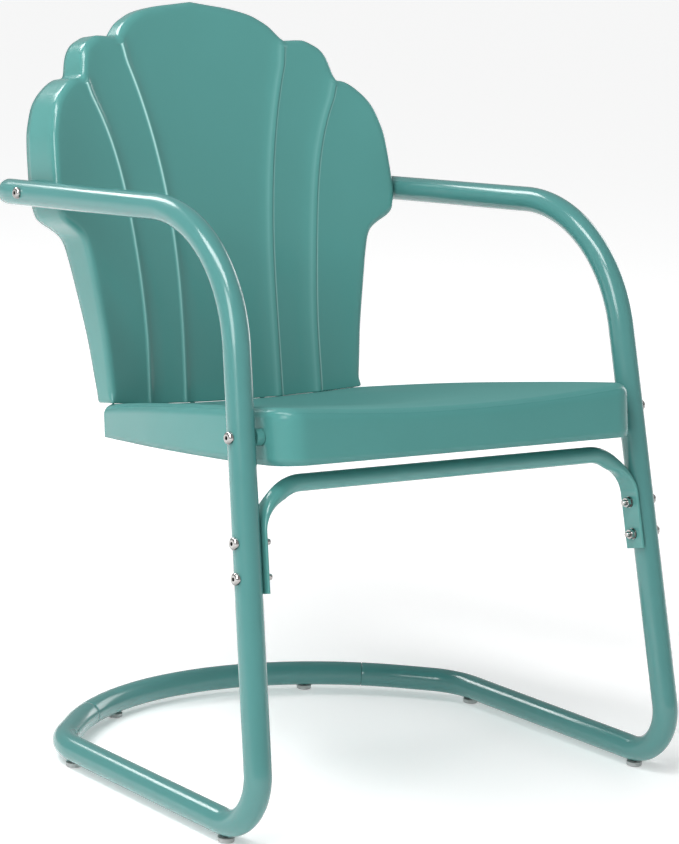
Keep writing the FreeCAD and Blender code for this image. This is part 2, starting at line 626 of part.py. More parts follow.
def seat_height(x, t):
    """top face over the seat's own plane: a trough across, a shallow dish in the middle"""
    d2 = (x * x + (t - 20.0) ** 2) / P("dish_r") ** 2
    dish = P("dish_deep") * max(0.0, 1.0 - d2) ** 2
    drop = P("rear_drop") * (max(t, 0.0) / 220.0) ** 2
    return x * x / (2 * P("seat_trough_r")) - P("seat_sag") - dish - drop


def seat_plan(off):
    f = SEAT_FRONT + off
    sp = [(SEAT_SIDE[0][1] + 0.6 - off, f)]
    n = len(SEAT_SIDE)
    for i, (t, w) in enumerate(SEAT_SIDE):
        a, b = SEAT_SIDE[max(i - 1, 0)], SEAT_SIDE[min(i + 1, n - 1)]
        l = math.hypot(b[0] - a[0], b[1] - a[1])
        sp.append((w - off * (b[0] - a[0]) / l, t + off * (b[1] - a[1]) / l))
    rear = lambda x: SEAT_REAR - off - 6.2e-4 * x * x
    x_end = sp[-1][0]
    sp[-1] = (x_end, rear(x_end))
    right = spline([Vector(x, t, 0) for x, t in sp]).toShape()
    left = spline([Vector(-x, t, 0) for x, t in reversed(sp)]).toShape()
    back_ = Part.Arc(Vector(x_end, rear(x_end), 0), Vector(0, rear(0), 0), Vector(-x_end, rear(x_end), 0)).toShape()
    front = Part.LineSegment(Vector(-sp[0][0], f, 0), Vector(sp[0][0], f, 0)).toShape()
    return Part.Wire([front, right, back_, left])


def seat_block(off):
    body = Part.Face(seat_plan(off)).extrude(Vector(0, 0, 160))
    body.translate(Vector(0, 0, -110))
    up = lambda q, sgn: [e for e in q.Edges if abs(e.BoundBox.ZLength - 160) < 1e-3 and e.BoundBox.XLength < 1e-3 and e.BoundBox.YMin * sgn > 0]
    body = body.makeFillet(P("seat_corner_r") - off, up(body, -1))
    body = body.makeFillet(P("seat_rear_corner_r") - off, up(body, 1))
    xs = [-300 + 30 * k for k in range(21)]
    ts = [-260 + 30 * k for k in range(19)]
    top = patch(xs, ts, lambda x, t: Vector(x, t, seat_height(x, t) - off)).toShape()
    upper = top.extrude(Vector(0, 0, 120))
    body = body.cut(upper)
    rim = []
    for e in body.Edges:
        m = e.valueAt((e.FirstParameter + e.LastParameter) / 2)
        if m.z > -30 and e.BoundBox.ZMin > -30:
            rim.append(e)
    body = rolled(body, P("seat_roll") - off, rim)
    cut = Part.makeBox(700, 900, 300, Vector(-350, -450, -300))
    cut.rotate(Vector(0, 0, 0), Vector(1, 0, 0), P("skirt_wedge"))
    cut.translate(Vector(0, 0, -P("skirt_deep") - (20 if off else 0)))
    return body.cut(cut)

seat = seat_block(0.0).cut(seat_block(T))
seat.Placement = Placement(SEAT_O, SEAT_ROT)
for s in (-1, 1):
    seat = seat.cut(put(Part.makeCylinder(P("bolt_hole") / 2 + 0.2, 60, Vector(0, 0, -30)), side_point(s, SEAT_BOLT[0], SEAT_BOLT[1], -RO - 12), side_out(s)))

# ---------------------------------------------------------------- back shell
BT = math.radians(P("back_tilt"))
BACK_O = Vector(0, P("back_y") - SHIFT, P("back_up"))
BACK_ROT = Rotation(Vector(1, 0, 0), -P("back_tilt"))          # local: x, w rearwards (Y), v up (Z)


def surf(x, z):
    q = (z - 372.0) / 100.0
    return 180.5 + 15.5 * q + 2.2 * q * q - 6.2e-4 * x * x


def to_local(x, y, z):
    return (x, (y - P("back_y")) * math.cos(BT) - (z - P("back_up")) * math.sin(BT), (y - P("back_y")) * math.sin(BT) + (z - P("back_up")) * math.cos(BT))


RIM = [(0, 824), (25, 821), (52, 817.6), (79, 811.4), (91, 806), (103.5, 798.3), (112, 788.5), (118.3, 783.2), (127.7, 783.4), (141, 783.9), (148, 783.3),
       (156.4, 780), (166, 774.5), (172.5, 766.5), (175.8, 758.4), (177.9, 749), (181.8, 740.6), (192.6, 736.6), (202, 732), (210, 726), (218, 718.5), (225.5, 708),
       (231, 694), (235.4, 678), (237.5, 659), (238.6, 642.5), (239.5, 624), (239.5, 609), (238, 597.6), (235, 587), (229, 580.4), (217, 572.6),
       (207.5, 565), (202.5, 557), (197, 538), (192, 514.6), (187.6, 491), (184, 467.5), (181, 444), (178, 408), (176.5, 388)]
FOOT_GAP = 0.4                                                  # between the back's foot and the seat's top


def seat_line(x):
    """height of the seat's top where the back's front face stands on it"""
    z = 370.0
    for _ in range(5):
        y = surf(x, z) - P("seat_y")
        h = 0.0
        for _ in range(4):
            t = (y - h * math.sin(math.radians(P("seat_tilt")))) / math.cos(math.radians(P("seat_tilt")))
            h = seat_height(x, t)
        z = P("seat_up") - t * math.sin(math.radians(P("seat_tilt"))) + h * math.cos(math.radians(P("seat_tilt")))
    return z, t


def back_outline(off):
    loc = []
    for (x, z) in RIM:
        lx, lw, lv = to_local(x, surf(x, z), z)
        loc.append((lx, lv))
    pts = []
    n = len(loc)
    for i, (x, v) in enumerate(loc):
        a = loc[i - 1] if i > 0 else (-loc[1][0], loc[1][1])
        b_ = loc[i + 1] if i < n - 1 else (x, v - 10)
        dx, dv = b_[0] - a[0], b_[1] - a[1]
        l = math.hypot(dx, dv)
        pts.append((x + off * dv / l, v - off * dx / l))
    foot = lambda x: to_local(x, surf(x, seat_line(x)[0]), seat_line(x)[0])[2] + FOOT_GAP + off
    right = [Vector(x, 0, v) for x, v in pts]
    # one smooth curve over the top from the left foot to the right foot
    chain = [Vector(-p.x, 0, p.z) for p in reversed(right[1:])] + right
    cv = Part.BSplineCurve()
    cv.interpolate(chain)
    foot_r, foot_l = right[-1], Vector(-right[-1].x, 0, right[-1].z)
    low = foot(foot_r.x)
    line_r = Part.LineSegment(foot_r, Vector(foot_r.x, 0, low)).toShape()
    base_ = Part.Arc(Vector(foot_r.x, 0, low), Vector(0, 0, foot(0)), Vector(foot_l.x, 0, low)).toShape()
    line_l = Part.LineSegment(Vector(foot_l.x, 0, low), foot_l).toShape()
    return Part.Wire([cv.toShape(), line_r, base_, line_l])


def back_slab(off):
    """everything behind the front face, bent both ways"""
    R1, R2 = P("wrap_r"), P("bow_r")
    v0 = P("bow_low")
    w0 = to_local(0, surf(0, 372.0), 372.0)[1] - (0.0 - v0) ** 2 / (2 * R2) + off
    # front arc in the x-w plane; its middle of curvature lies in front
    hx = 300.0
    pts = [Vector(x, w0 - x * x / (2.0 * R1), v0) for x in (-hx, 0, hx)]
    arc = Part.Arc(pts[0], pts[1], pts[2]).toShape()
    deep = w0 + 160
    l1 = Part.LineSegment(pts[2], Vector(hx, deep, v0)).toShape()
    l2 = Part.LineSegment(Vector(hx, deep, v0), Vector(-hx, deep, v0)).toShape()
    l3 = Part.LineSegment(Vector(-hx, deep, v0), pts[0]).toShape()
    face = Part.Face(Part.Wire([arc, l1, l2, l3]))
    ax = Vector(0, w0 + R2 - off, v0)
    face = face.copy()
    face.rotate(ax, Vector(1, 0, 0), 3.0)
    q = face.revolve(ax, Vector(1, 0, 0), -18.0)
    if q.Volume < 0:
        q.reverse()
    return q


INNER_RIDGE = [(110.3, 765), (100.2, 740.4), (92.6, 717), (84.9, 688.8), (78.1, 656.3), (73, 630.4), (68.9, 604.4), (64.7, 562), (61.6, 508.5), (61.6, 440.7), (62.0, 394.7), (62.5, 366)]
OUTER_RIDGE = [(170.4, 724.7), (164.7, 714.4), (153.7, 691.6), (143.8, 664.2), (134.8, 631.8), (131.2, 614), (123.6, 556), (119.4, 519.8), (116.5, 471.8), (115.7, 421.7), (116.5, 366)]


def pleats(shape_r, back_by):
    out = []
    for ridge in (INNER_RIDGE, OUTER_RIDGE):
        for s in (-1, 1):
            pts = []
            for (x, z) in ridge:
                x2 = x + 7.0
                lx, lw, lv = to_local(x2, surf(x2, z), z)
                pts.append(Vector(s * lx, lw + back_by, lv))
            cv = Part.BSplineCurve()
            cv.interpolate(pts)
            e = cv.toShape()
            tan = cv.tangent(cv.FirstParameter)[0]
            prof = Part.Wire(Part.makeCircle(shape_r, pts[0], tan))
            out.append(Part.Wire([e]).makePipeShell([prof], True, False))
    return out


def back_solid(off):
    prism = Part.Face(back_outline(off)).extrude(Vector(0, 260, 0))
    prism.translate(Vector(0, -80, 0))
    return prism.common(back_slab(off))


def rear_cut(q, extra):
    box = Part.makeBox(900, 300, 900, Vector(-450, 0, -300))
    box.rotate(Vector(0, 0, 0), Vector(1, 0, 0), -P("rear_plane_slope"))
    box.translate(Vector(0, P("rear_plane_w") + extra, 0))
    return q.cut(box)


o = back_solid(0.0)
i_ = back_solid(T)
po = pleats(P("pleat_r"), P("pleat_r") - P("pleat_proud"))
pi = pleats(P("pleat_r") - T, P("pleat_r") - P("pleat_proud"))
prism_o = Part.Face(back_outline(0.0)).extrude(Vector(0, 260, 0))
prism_o.translate(Vector(0, -80, 0))
prism_i = Part.Face(back_outline(T)).extrude(Vector(0, 260, 0))
prism_i.translate(Vector(0, -80, 0))
for q in po:
    o = o.fuse(q.common(prism_o))
for q in pi:
    i_ = i_.fuse(q.common(prism_i))
o = rear_cut(o, 0.0)
back = o.cut(i_)
# foot flange: the sheet's lower edge turned back flat along the seat
strip = Part.Face(back_outline(0.0)).extrude(Vector(0, 260, 0))
strip.translate(Vector(0, -80, 0))
above = Part.Face(back_outline(T)).extrude(Vector(0, 260, 0))
above.translate(Vector(0, -80, 0))
zone = Part.makeBox(2 * 170.0, 260, 60, Vector(-170.0, -80, to_local(0, surf(0, seat_line(0)[0]), seat_line(0)[0])[2] - 10))
strip = strip.cut(above).common(zone).common(back_slab(0.2)).cut(back_slab(P("flange_deep")))
strip = strip.Solids[0] if len(strip.Solids) == 1 else max(strip.Solids, key=lambda q: q.Volume)
back = back.fuse(strip)
back.Placement = Placement(BACK_O, BACK_ROT)
if back.Volume < 0:
    back.reverse()
for s in (-1, 1):
    back = back.cut(put(Part.makeCylinder(P("bolt_hole") / 2 + 0.2, 60, Vector(0, 0, -30)), side_point(s, ARM_BOLT[0], ARM_BOLT[1], -RO - 12), side_out(s)))

# ---------------------------------------------------------------- joint between back and seat
joint_spots = []
for x in (-130.0, -50.0, 50.0, 130.0):
    t = seat_line(x)[1] + 10.5
    tilt = Vector(seat_height(x - 0.5, t) - seat_height(x + 0.5, t), seat_height(x, t - 0.5) - seat_height(x, t + 0.5), 1).normalize()
    joint_spots.append((SEAT_ROT.multVec(Vector(x, t, seat_height(x, t))) + SEAT_O, SEAT_ROT.multVec(tilt)))
for pos, nrm in joint_spots:
    c = put(Part.makeCylinder(P("bolt_hole") / 2, 24, Vector(0, 0, -12)), pos, nrm)
    seat = seat.cut(c)
    back = back.cut(c)
feature("seat_pan", seat)
feature("back_shell", back)

# ---------------------------------------------------------------- fasteners in place
cb, cw, cn = [], [], []
stack = RO + 0.3 + P("flat_thick") + 0.05
for s in (-1, 1):
    for k, (y, z) in enumerate(BAR_BOLTS):
        L = 2 * RO + 0.3 + P("flat_thick") + P("washer_t") + P("nut_h") + 4.6
        cb.append(put(bolt_shape(L), side_point(s, y, z, RO + 0.02), side_out(s), 12 + 20 * k))
        cw.append(put(washer_shape(), side_point(s, y, z, -stack - 0.05), side_out(s)))
        cn.append(put(nut_shape(), side_point(s, y, z, -stack - P("washer_t") - 0.08), side_out(s), 10 + 15 * k))
feature("crossbar_bolts", group(cb))
feature("crossbar_washers", group(cw))
feature("crossbar_nuts", group(cn))

sb, ss, sw, sn = [], [], [], []
for s in (-1, 1):
    y, z = SEAT_BOLT
    skin = 243.4                                             # outer face of the seat's side skirt here
    reach = (frame_x(z) - skin) / math.cos(LEAN)             # from the tube's middle to the skirt
    sp = Part.makeCylinder(9.0, reach - RO + 3, Vector(0, 0, -(reach + 3)))
    sp = sp.cut(Part.makeCylinder(P("bolt_hole") / 2, 60, Vector(0, 0, -40)))
    sp = put(sp, side_point(s, y, z, 0), side_out(s))
    lim = Part.makeBox(2 * (skin + 0.35), 200, 200, Vector(-(skin + 0.35), y - SHIFT - 100, z - 100))
    sp = sp.cut(lim)
    tube = put(Part.makeCylinder(RO + 0.1, 120, Vector(0, 0, -60)), side_point(s, y, z, 0), side_place(s).Rotation.multVec(Vector(0, UP_DIR[0], UP_DIR[1])))
    sp = sp.cut(tube)
    ss += sp.Solids
    L = RO + reach + P("sheet_t") + 0.6 + P("washer_t") + P("nut_h") + 4.0
    sb.append(put(bolt_shape(L), side_point(s, y, z, RO + 0.02), side_out(s), 20))
    sw.append(put(washer_shape(), side_point(s, y, z, -(reach + P("sheet_t") + 0.8)), side_out(s)))
    sn.append(put(nut_shape(), side_point(s, y, z, -(reach + P("sheet_t") + 0.85 + P("washer_t"))), side_out(s), 10))
feature("seat_side_bolts", group(sb))
feature("seat_side_spacers", group(ss))
feature("seat_side_washers", group(sw))
feature("seat_side_nuts", group(sn))

ab, asp, aw, an = [], [], [], []
for s in (-1, 1):
    y, z = ARM_BOLT
    skin = 239.8
    reach = (frame_x(z) - skin) / math.cos(LEAN)
    sp = Part.makeCylinder(8.0, reach - RO + 3, Vector(0, 0, -(reach + 3)))
    sp = sp.cut(Part.makeCylinder(P("bolt_hole") / 2, 60, Vector(0, 0, -40)))
    sp = put(sp, side_point(s, y, z, 0), side_out(s))
    lim = Part.makeBox(2 * (skin + 0.35), 200, 200, Vector(-(skin + 0.35), y - SHIFT - 100, z - 100))
    sp = sp.cut(lim)
    tube = put(Part.makeCylinder(RO + 0.1, 120, Vector(0, 0, -60)), side_point(s, y, z, 0), side_place(s).Rotation.multVec(arm_dir_l))
    sp = sp.cut(tube)
    asp += sp.Solids
    L = RO + reach + P("sheet_t") + 0.8 + P("washer_t") + P("nut_h") + 4.0
    ab.append(put(bolt_shape(L), side_point(s, y, z, RO + 0.02), side_out(s), 20))
    aw.append(put(washer_shape(), side_point(s, y, z, -(reach + P("sheet_t") + 0.92)), side_out(s)))
    an.append(put(nut_shape(), side_point(s, y, z, -(reach + P("sheet_t") + 0.97 + P("washer_t"))), side_out(s), 10))
feature("arm_bolts", group(ab))
feature("arm_spacers", group(asp))
feature("arm_washers", group(aw))
feature("arm_nuts", group(an))

jb, jw, jn = [], [], []
for pos, nrm in joint_spots:
    top = FOOT_GAP + P("sheet_t") + 0.75
    jb.append(put(bolt_shape(16.0), pos + nrm * (top + P("washer_t") + 0.03), nrm, 0))
    jw.append(put(washer_shape(), pos + nrm * (top + P("washer_t")), nrm))
    jn.append(put(nut_shape(), pos - nrm * (P("sheet_t") + 2.7), nrm, 0))
feature("back_to_seat_bolts", group(jb))
feature("back_to_seat_washers", group(jw))
feature("back_to_seat_nuts", group(jn))

# ---------------------------------------------------------------- check and write
doc.recompute()
bad = [o_.Name for o_ in doc.Objects if "Invalid" in o_.State or "Error" in o_.State]
if bad:
    raise RuntimeError("objects not sound: " + ", ".join(bad))
for name, a, b_ in VOLCHECK:
    if not b_ < a - 1:
        raise RuntimeError("no material taken away: " + name)
for obj, node in NODES:
    sh = obj.Shape
    if sh.isNull() or not sh.isValid() or not sh.Solids:
        raise RuntimeError("shape not sound: " + node)
    for q in sh.Solids:
        if not q.isClosed() or q.Volume < 1:
            raise RuntimeError("solid not closed: %s %.1f" % (node, q.Volume))
for obj, node in NODES:
    obj.Shape.exportStep("parts/" + node + ".step")
    bb = obj.Shape.optimalBoundingBox() if hasattr(obj.Shape, "optimalBoundingBox") else obj.Shape.BoundBox
    print("%-24s %2d %9.0f  x %7.1f %7.1f  y %7.1f %7.1f  z %7.1f %7.1f" % (node, len(obj.Shape.Solids), obj.Shape.Volume, bb.XMin, bb.XMax, bb.YMin, bb.YMax, bb.ZMin, bb.ZMax))
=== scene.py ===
import math
import bpy
import bmesh
import numpy as np
from mathutils import Vector, Matrix
from mathutils.geometry import delaunay_2d_cdt


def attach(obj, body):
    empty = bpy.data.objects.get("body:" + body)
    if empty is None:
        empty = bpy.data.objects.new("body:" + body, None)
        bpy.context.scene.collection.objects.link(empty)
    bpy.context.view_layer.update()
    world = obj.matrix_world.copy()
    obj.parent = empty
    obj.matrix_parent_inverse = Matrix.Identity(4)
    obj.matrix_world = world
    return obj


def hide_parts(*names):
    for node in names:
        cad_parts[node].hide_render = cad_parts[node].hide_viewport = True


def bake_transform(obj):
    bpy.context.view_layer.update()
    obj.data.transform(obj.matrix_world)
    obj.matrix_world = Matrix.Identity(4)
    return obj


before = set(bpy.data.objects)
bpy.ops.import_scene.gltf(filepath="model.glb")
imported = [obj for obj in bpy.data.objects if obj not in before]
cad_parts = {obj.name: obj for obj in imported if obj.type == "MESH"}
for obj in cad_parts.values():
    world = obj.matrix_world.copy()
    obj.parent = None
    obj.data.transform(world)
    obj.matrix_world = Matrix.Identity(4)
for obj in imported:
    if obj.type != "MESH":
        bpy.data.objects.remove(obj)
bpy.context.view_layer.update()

MM = 0.001
SHIFT = 5.95            # the frame's origin lies this far behind the measuring origin, in mm

# ---------------------------------------------------------------- mesh helpers


def new_object(name, verts, faces, smooth=True, mat=None):
    """verts in mm in the measuring frame; faces are index lists"""
    me = bpy.data.meshes.new(name)
    v = np.array(verts, float).reshape(-1, 3).copy()
    v[:, 1] -= SHIFT
    me.from_pydata((v * MM).tolist(), [], [list(map(int, f)) for f in faces])
    me.validate()
    me.update()
    ob = bpy.data.objects.new(name, me)
    bpy.context.scene.collection.objects.link(ob)
    if smooth:
        me.polygons.foreach_set("use_smooth", [True] * len(me.polygons))
    if mat is not None:
        me.materials.append(mat)
    return ob


def outward(ob):
    bm = bmesh.new()
    bm.from_mesh(ob.data)
    bmesh.ops.recalc_face_normals(bm, faces=bm.faces[:])
    bm.to_mesh(ob.data)
    bm.free()
    return ob


def sharp_by_angle(ob, deg):
    bm = bmesh.new()
    bm.from_mesh(ob.data)
    for e in bm.edges:
        if len(e.link_faces) == 2 and e.calc_face_angle(0.0) > math.radians(deg):
            e.smooth = False
    bm.to_mesh(ob.data)
    bm.free()


# ---------------------------------------------------------------- materials


def nodes_of(mat):
    mat.use_nodes = True
    nt = mat.node_tree
    nt.nodes.clear()
    return nt, nt.nodes, nt.links


def painted(name, base, vary=0.05, rough=(0.16, 0.26), coat=0.22, peel=0.02, peel_scale=260.0, spec=0.5, crest=False, flat_rough=0.0):
    """gloss powder coat: slight colour drift, orange peel"""
    m = bpy.data.materials.new(name)
    nt, N, L = nodes_of(m)
    out = N.new("ShaderNodeOutputMaterial")
    b = N.new("ShaderNodeBsdfPrincipled")
    L.new(b.outputs["BSDF"], out.inputs["Surface"])
    tc = N.new("ShaderNodeTexCoord")
    n1 = N.new("ShaderNodeTexNoise"); n1.inputs["Scale"].default_value = 7.0; n1.inputs["Detail"].default_value = 4.0
    L.new(tc.outputs["Object"], n1.inputs["Vector"])
    mix = N.new("ShaderNodeMix"); mix.data_type = "RGBA"
    d = 1.0 - vary
    u = 1.0 + vary
    mix.inputs["A"].default_value = (base[0] * d, base[1] * d, base[2] * d * 0.99, 1)
    mix.inputs["B"].default_value = (base[0] * u, base[1] * u, base[2] * u, 1)
    L.new(n1.outputs["Fac"], mix.inputs["Factor"])
    tone = mix.outputs["Result"]
    # painted highlight: with crest set, the colour is mixed towards a pale teal by the sheet's "crest" attribute,
    # standing in for the light caught along the pressed ridges
    if crest:
        at = N.new("ShaderNodeAttribute"); at.attribute_name = "crest"
        lit = N.new("ShaderNodeMix"); lit.data_type = "RGBA"
        lit.inputs["B"].default_value = (0.46, 0.74, 0.71, 1)
        L.new(at.outputs["Fac"], lit.inputs["Factor"])
        L.new(tone, lit.inputs["A"])
        tone = lit.outputs["Result"]
    L.new(tone, b.inputs["Base Color"])
    n2 = N.new("ShaderNodeTexNoise"); n2.inputs["Scale"].default_value = 34.0; n2.inputs["Detail"].default_value = 3.0
    L.new(tc.outputs["Object"], n2.inputs["Vector"])
    mr = N.new("ShaderNodeMapRange"); mr.inputs["From Min"].default_value = 0.3; mr.inputs["From Max"].default_value = 0.7
    mr.inputs["To Min"].default_value = rough[0]; mr.inputs["To Max"].default_value = rough[1]
    L.new(n2.outputs["Fac"], mr.inputs["Value"])
    rgh = mr.outputs["Result"]
    if flat_rough > 0:
        geo = N.new("ShaderNodeNewGeometry")
        sep = N.new("ShaderNodeSeparateXYZ")
        L.new(geo.outputs["Normal"], sep.inputs["Vector"])
        up = N.new("ShaderNodeMapRange"); up.interpolation_type = "SMOOTHSTEP"
        up.inputs["From Min"].default_value = 0.70; up.inputs["From Max"].default_value = 0.97
        L.new(sep.outputs["Z"], up.inputs["Value"])
        rm = N.new("ShaderNodeMix"); rm.data_type = "FLOAT"
        rm.inputs["B"].default_value = flat_rough
        L.new(up.outputs["Result"], rm.inputs["Factor"])
        L.new(rgh, rm.inputs["A"])
        rgh = rm.outputs["Result"]
    L.new(rgh, b.inputs["Roughness"])
    n3 = N.new("ShaderNodeTexNoise"); n3.inputs["Scale"].default_value = peel_scale; n3.inputs["Detail"].default_value = 1.0
    L.new(tc.outputs["Object"], n3.inputs["Vector"])
    bp = N.new("ShaderNodeBump"); bp.inputs["Strength"].default_value = peel; bp.inputs["Distance"].default_value = 0.0006
    L.new(n3.outputs["Fac"], bp.inputs["Height"])
    L.new(bp.outputs["Normal"], b.inputs["Normal"])
    b.inputs["Coat Weight"].default_value = coat
    b.inputs["Coat Roughness"].default_value = 0.07
    b.inputs["Specular IOR Level"].default_value = spec
    return m


def steel(name, base, rough=(0.28, 0.42), scale=90.0, metallic=1.0):
    m = bpy.data.materials.new(name)
    nt, N, L = nodes_of(m)
    out = N.new("ShaderNodeOutputMaterial")
    b = N.new("ShaderNodeBsdfPrincipled")
    L.new(b.outputs["BSDF"], out.inputs["Surface"])
    tc = N.new("ShaderNodeTexCoord")
    n1 = N.new("ShaderNodeTexNoise"); n1.inputs["Scale"].default_value = scale; n1.inputs["Detail"].default_value = 5.0
    L.new(tc.outputs["Object"], n1.inputs["Vector"])
    mix = N.new("ShaderNodeMix"); mix.data_type = "RGBA"
    mix.inputs["A"].default_value = (base[0] * 0.82, base[1] * 0.82, base[2] * 0.82, 1)
    mix.inputs["B"].default_value = (min(base[0] * 1.1, 1), min(base[1] * 1.1, 1), min(base[2] * 1.1, 1), 1)
    L.new(n1.outputs["Fac"], mix.inputs["Factor"])
    # painted shade: the base colour darkens towards near-black on faces that turn downwards and in small hollows such
    # as the hex socket (ambient occlusion)
    geo = N.new("ShaderNodeNewGeometry")
    sep = N.new("ShaderNodeSeparateXYZ")
    L.new(geo.outputs["Normal"], sep.inputs["Vector"])
    painted_underside_shade = N.new("ShaderNodeMapRange"); painted_underside_shade.inputs["From Min"].default_value = -0.55; painted_underside_shade.inputs["From Max"].default_value = 0.35
    painted_underside_shade.inputs["To Min"].default_value = 0.40; painted_underside_shade.inputs["To Max"].default_value = 1.0
    L.new(sep.outputs["Z"], painted_underside_shade.inputs["Value"])
    ao = N.new("ShaderNodeAmbientOcclusion"); ao.samples = 8; ao.inputs["Distance"].default_value = 0.003
    am = N.new("ShaderNodeMapRange"); am.inputs["From Min"].default_value = 0.35; am.inputs["From Max"].default_value = 0.85
    am.inputs["To Min"].default_value = 0.06; am.inputs["To Max"].default_value = 1.0
    L.new(ao.outputs["AO"], am.inputs["Value"])
    painted_shade_factor = N.new("ShaderNodeMath"); painted_shade_factor.operation = "MULTIPLY"
    L.new(painted_underside_shade.outputs["Result"], painted_shade_factor.inputs[0])
    L.new(am.outputs["Result"], painted_shade_factor.inputs[1])
    painted_shade_mix = N.new("ShaderNodeMix"); painted_shade_mix.data_type = "RGBA"; painted_shade_mix.inputs["A"].default_value = (0.02, 0.02, 0.018, 1)
    L.new(painted_shade_factor.outputs["Value"], painted_shade_mix.inputs["Factor"])
    L.new(mix.outputs["Result"], painted_shade_mix.inputs["B"])
    L.new(painted_shade_mix.outputs["Result"], b.inputs["Base Color"])
    mr = N.new("ShaderNodeMapRange"); mr.inputs["To Min"].default_value = rough[0]; mr.inputs["To Max"].default_value = rough[1]
    L.new(n1.outputs["Fac"], mr.inputs["Value"])
    L.new(mr.outputs["Result"], b.inputs["Roughness"])
    bp = N.new("ShaderNodeBump"); bp.inputs["Strength"].default_value = 0.12; bp.inputs["Distance"].default_value = 0.0002
    L.new(n1.outputs["Fac"], bp.inputs["Height"])
    L.new(bp.outputs["Normal"], b.inputs["Normal"])
    b.inputs["Metallic"].default_value = metallic
    return m


def clear_plastic(name, base):
    m = bpy.data.materials.new(name)
    nt, N, L = nodes_of(m)
    out = N.new("ShaderNodeOutputMaterial")
    b = N.new("ShaderNodeBsdfPrincipled")
    L.new(b.outputs["BSDF"], out.inputs["Surface"])
    tc = N.new("ShaderNodeTexCoord")
    n1 = N.new("ShaderNodeTexNoise"); n1.inputs["Scale"].default_value = 60.0; n1.inputs["Detail"].default_value = 3.0
    L.new(tc.outputs["Object"], n1.inputs["Vector"])
    mix = N.new("ShaderNodeMix"); mix.data_type = "RGBA"
    mix.inputs["A"].default_value = (base[0] * 0.9, base[1] * 0.9, base[2] * 0.9, 1)
    mix.inputs["B"].default_value = (base[0] * 1.08, base[1] * 1.08, base[2] * 1.08, 1)
    L.new(n1.outputs["Fac"], mix.inputs["Factor"])
    L.new(mix.outputs["Result"], b.inputs["Base Color"])
    mr = N.new("ShaderNodeMapRange"); mr.inputs["To Min"].default_value = 0.25; mr.inputs["To Max"].default_value = 0.4
    L.new(n1.outputs["Fac"], mr.inputs["Value"])
    L.new(mr.outputs["Result"], b.inputs["Roughness"])
    b.inputs["Transmission Weight"].default_value = 0.35
    b.inputs["IOR"].default_value = 1.46
    return m


TEAL = painted("teal_paint", (0.080, 0.275, 0.258))
TEAL_SEAT = painted("teal_paint_seat", (0.076, 0.262, 0.247), rough=(0.20, 0.26), coat=0.0, spec=0.30, flat_rough=0.72)
# the back's paint carries the painted highlight along the pressed ridges
TEAL_BACK = painted("teal_paint_back", (0.080, 0.275, 0.258), crest=True)
TEAL_TUBE = painted("teal_paint_tube", (0.072, 0.238, 0.228), coat=0.35)
STEEL = steel("hardware", (0.66, 0.645, 0.63), rough=(0.10, 0.20))
RAW = steel("plain_steel", (0.42, 0.42, 0.42), (0.4, 0.55))
GLIDE = clear_plastic("glide_plastic", (0.55, 0.57, 0.56))

# ---------------------------------------------------------------- tube geometry (mm)
TUBE_R = 14.3
FRAME_HALF, LEAN, RAIL_Z = 283.6, math.radians(2.462), 19.45
V_UP = np.array([-159.34, 610.15])
V_LOW = np.array([-300.0, 0.0])
R_UP, R_LOW = 161.5, 53.1
ARM_SLOPE, ARM_END_Y = math.radians(2.953), 266.5
UPD = (V_UP - V_LOW) / np.linalg.norm(V_UP - V_LOW)


def frame_x(z):
    return FRAME_HALF - math.tan(LEAN) * (z - RAIL_Z)


def upright_y(z):
    return V_LOW[0] + (z - RAIL_Z) * UPD[0] / UPD[1]


def fillet2(p0, v, p2, r, n):
    """arc points of radius r rounding the corner v between p0 and p2"""
    a = (p0 - v) / np.linalg.norm(p0 - v)
    b = (p2 - v) / np.linalg.norm(p2 - v)
    ang = math.acos(float(a @ b))
    t = r / math.tan(ang / 2)
    bis = (a + b) / np.linalg.norm(a + b)
    c = v + bis * (r / math.sin(ang / 2))
    s0 = v + a * t - c
    s1 = v + b * t - c
    sweep = math.pi - ang
    out = []
    for k in range(n + 1):
        f = k / n
        w0 = math.sin((1 - f) * sweep) / math.sin(sweep)
        w1 = math.sin(f * sweep) / math.sin(sweep)
        out.append(c + s0 * w0 + s1 * w1)
    return out


def line_pts(a, b, step):
    n = max(1, int(round(np.linalg.norm(b - a) / step)))
    return [a + (b - a) * k / n for k in range(n + 1)]


def chain(*segs):
    out = []
    for s in segs:
        for p in s:
            if not out or np.linalg.norm(np.array(p) - out[-1]) > 1e-6:
                out.append(np.array(p, float))
    return out


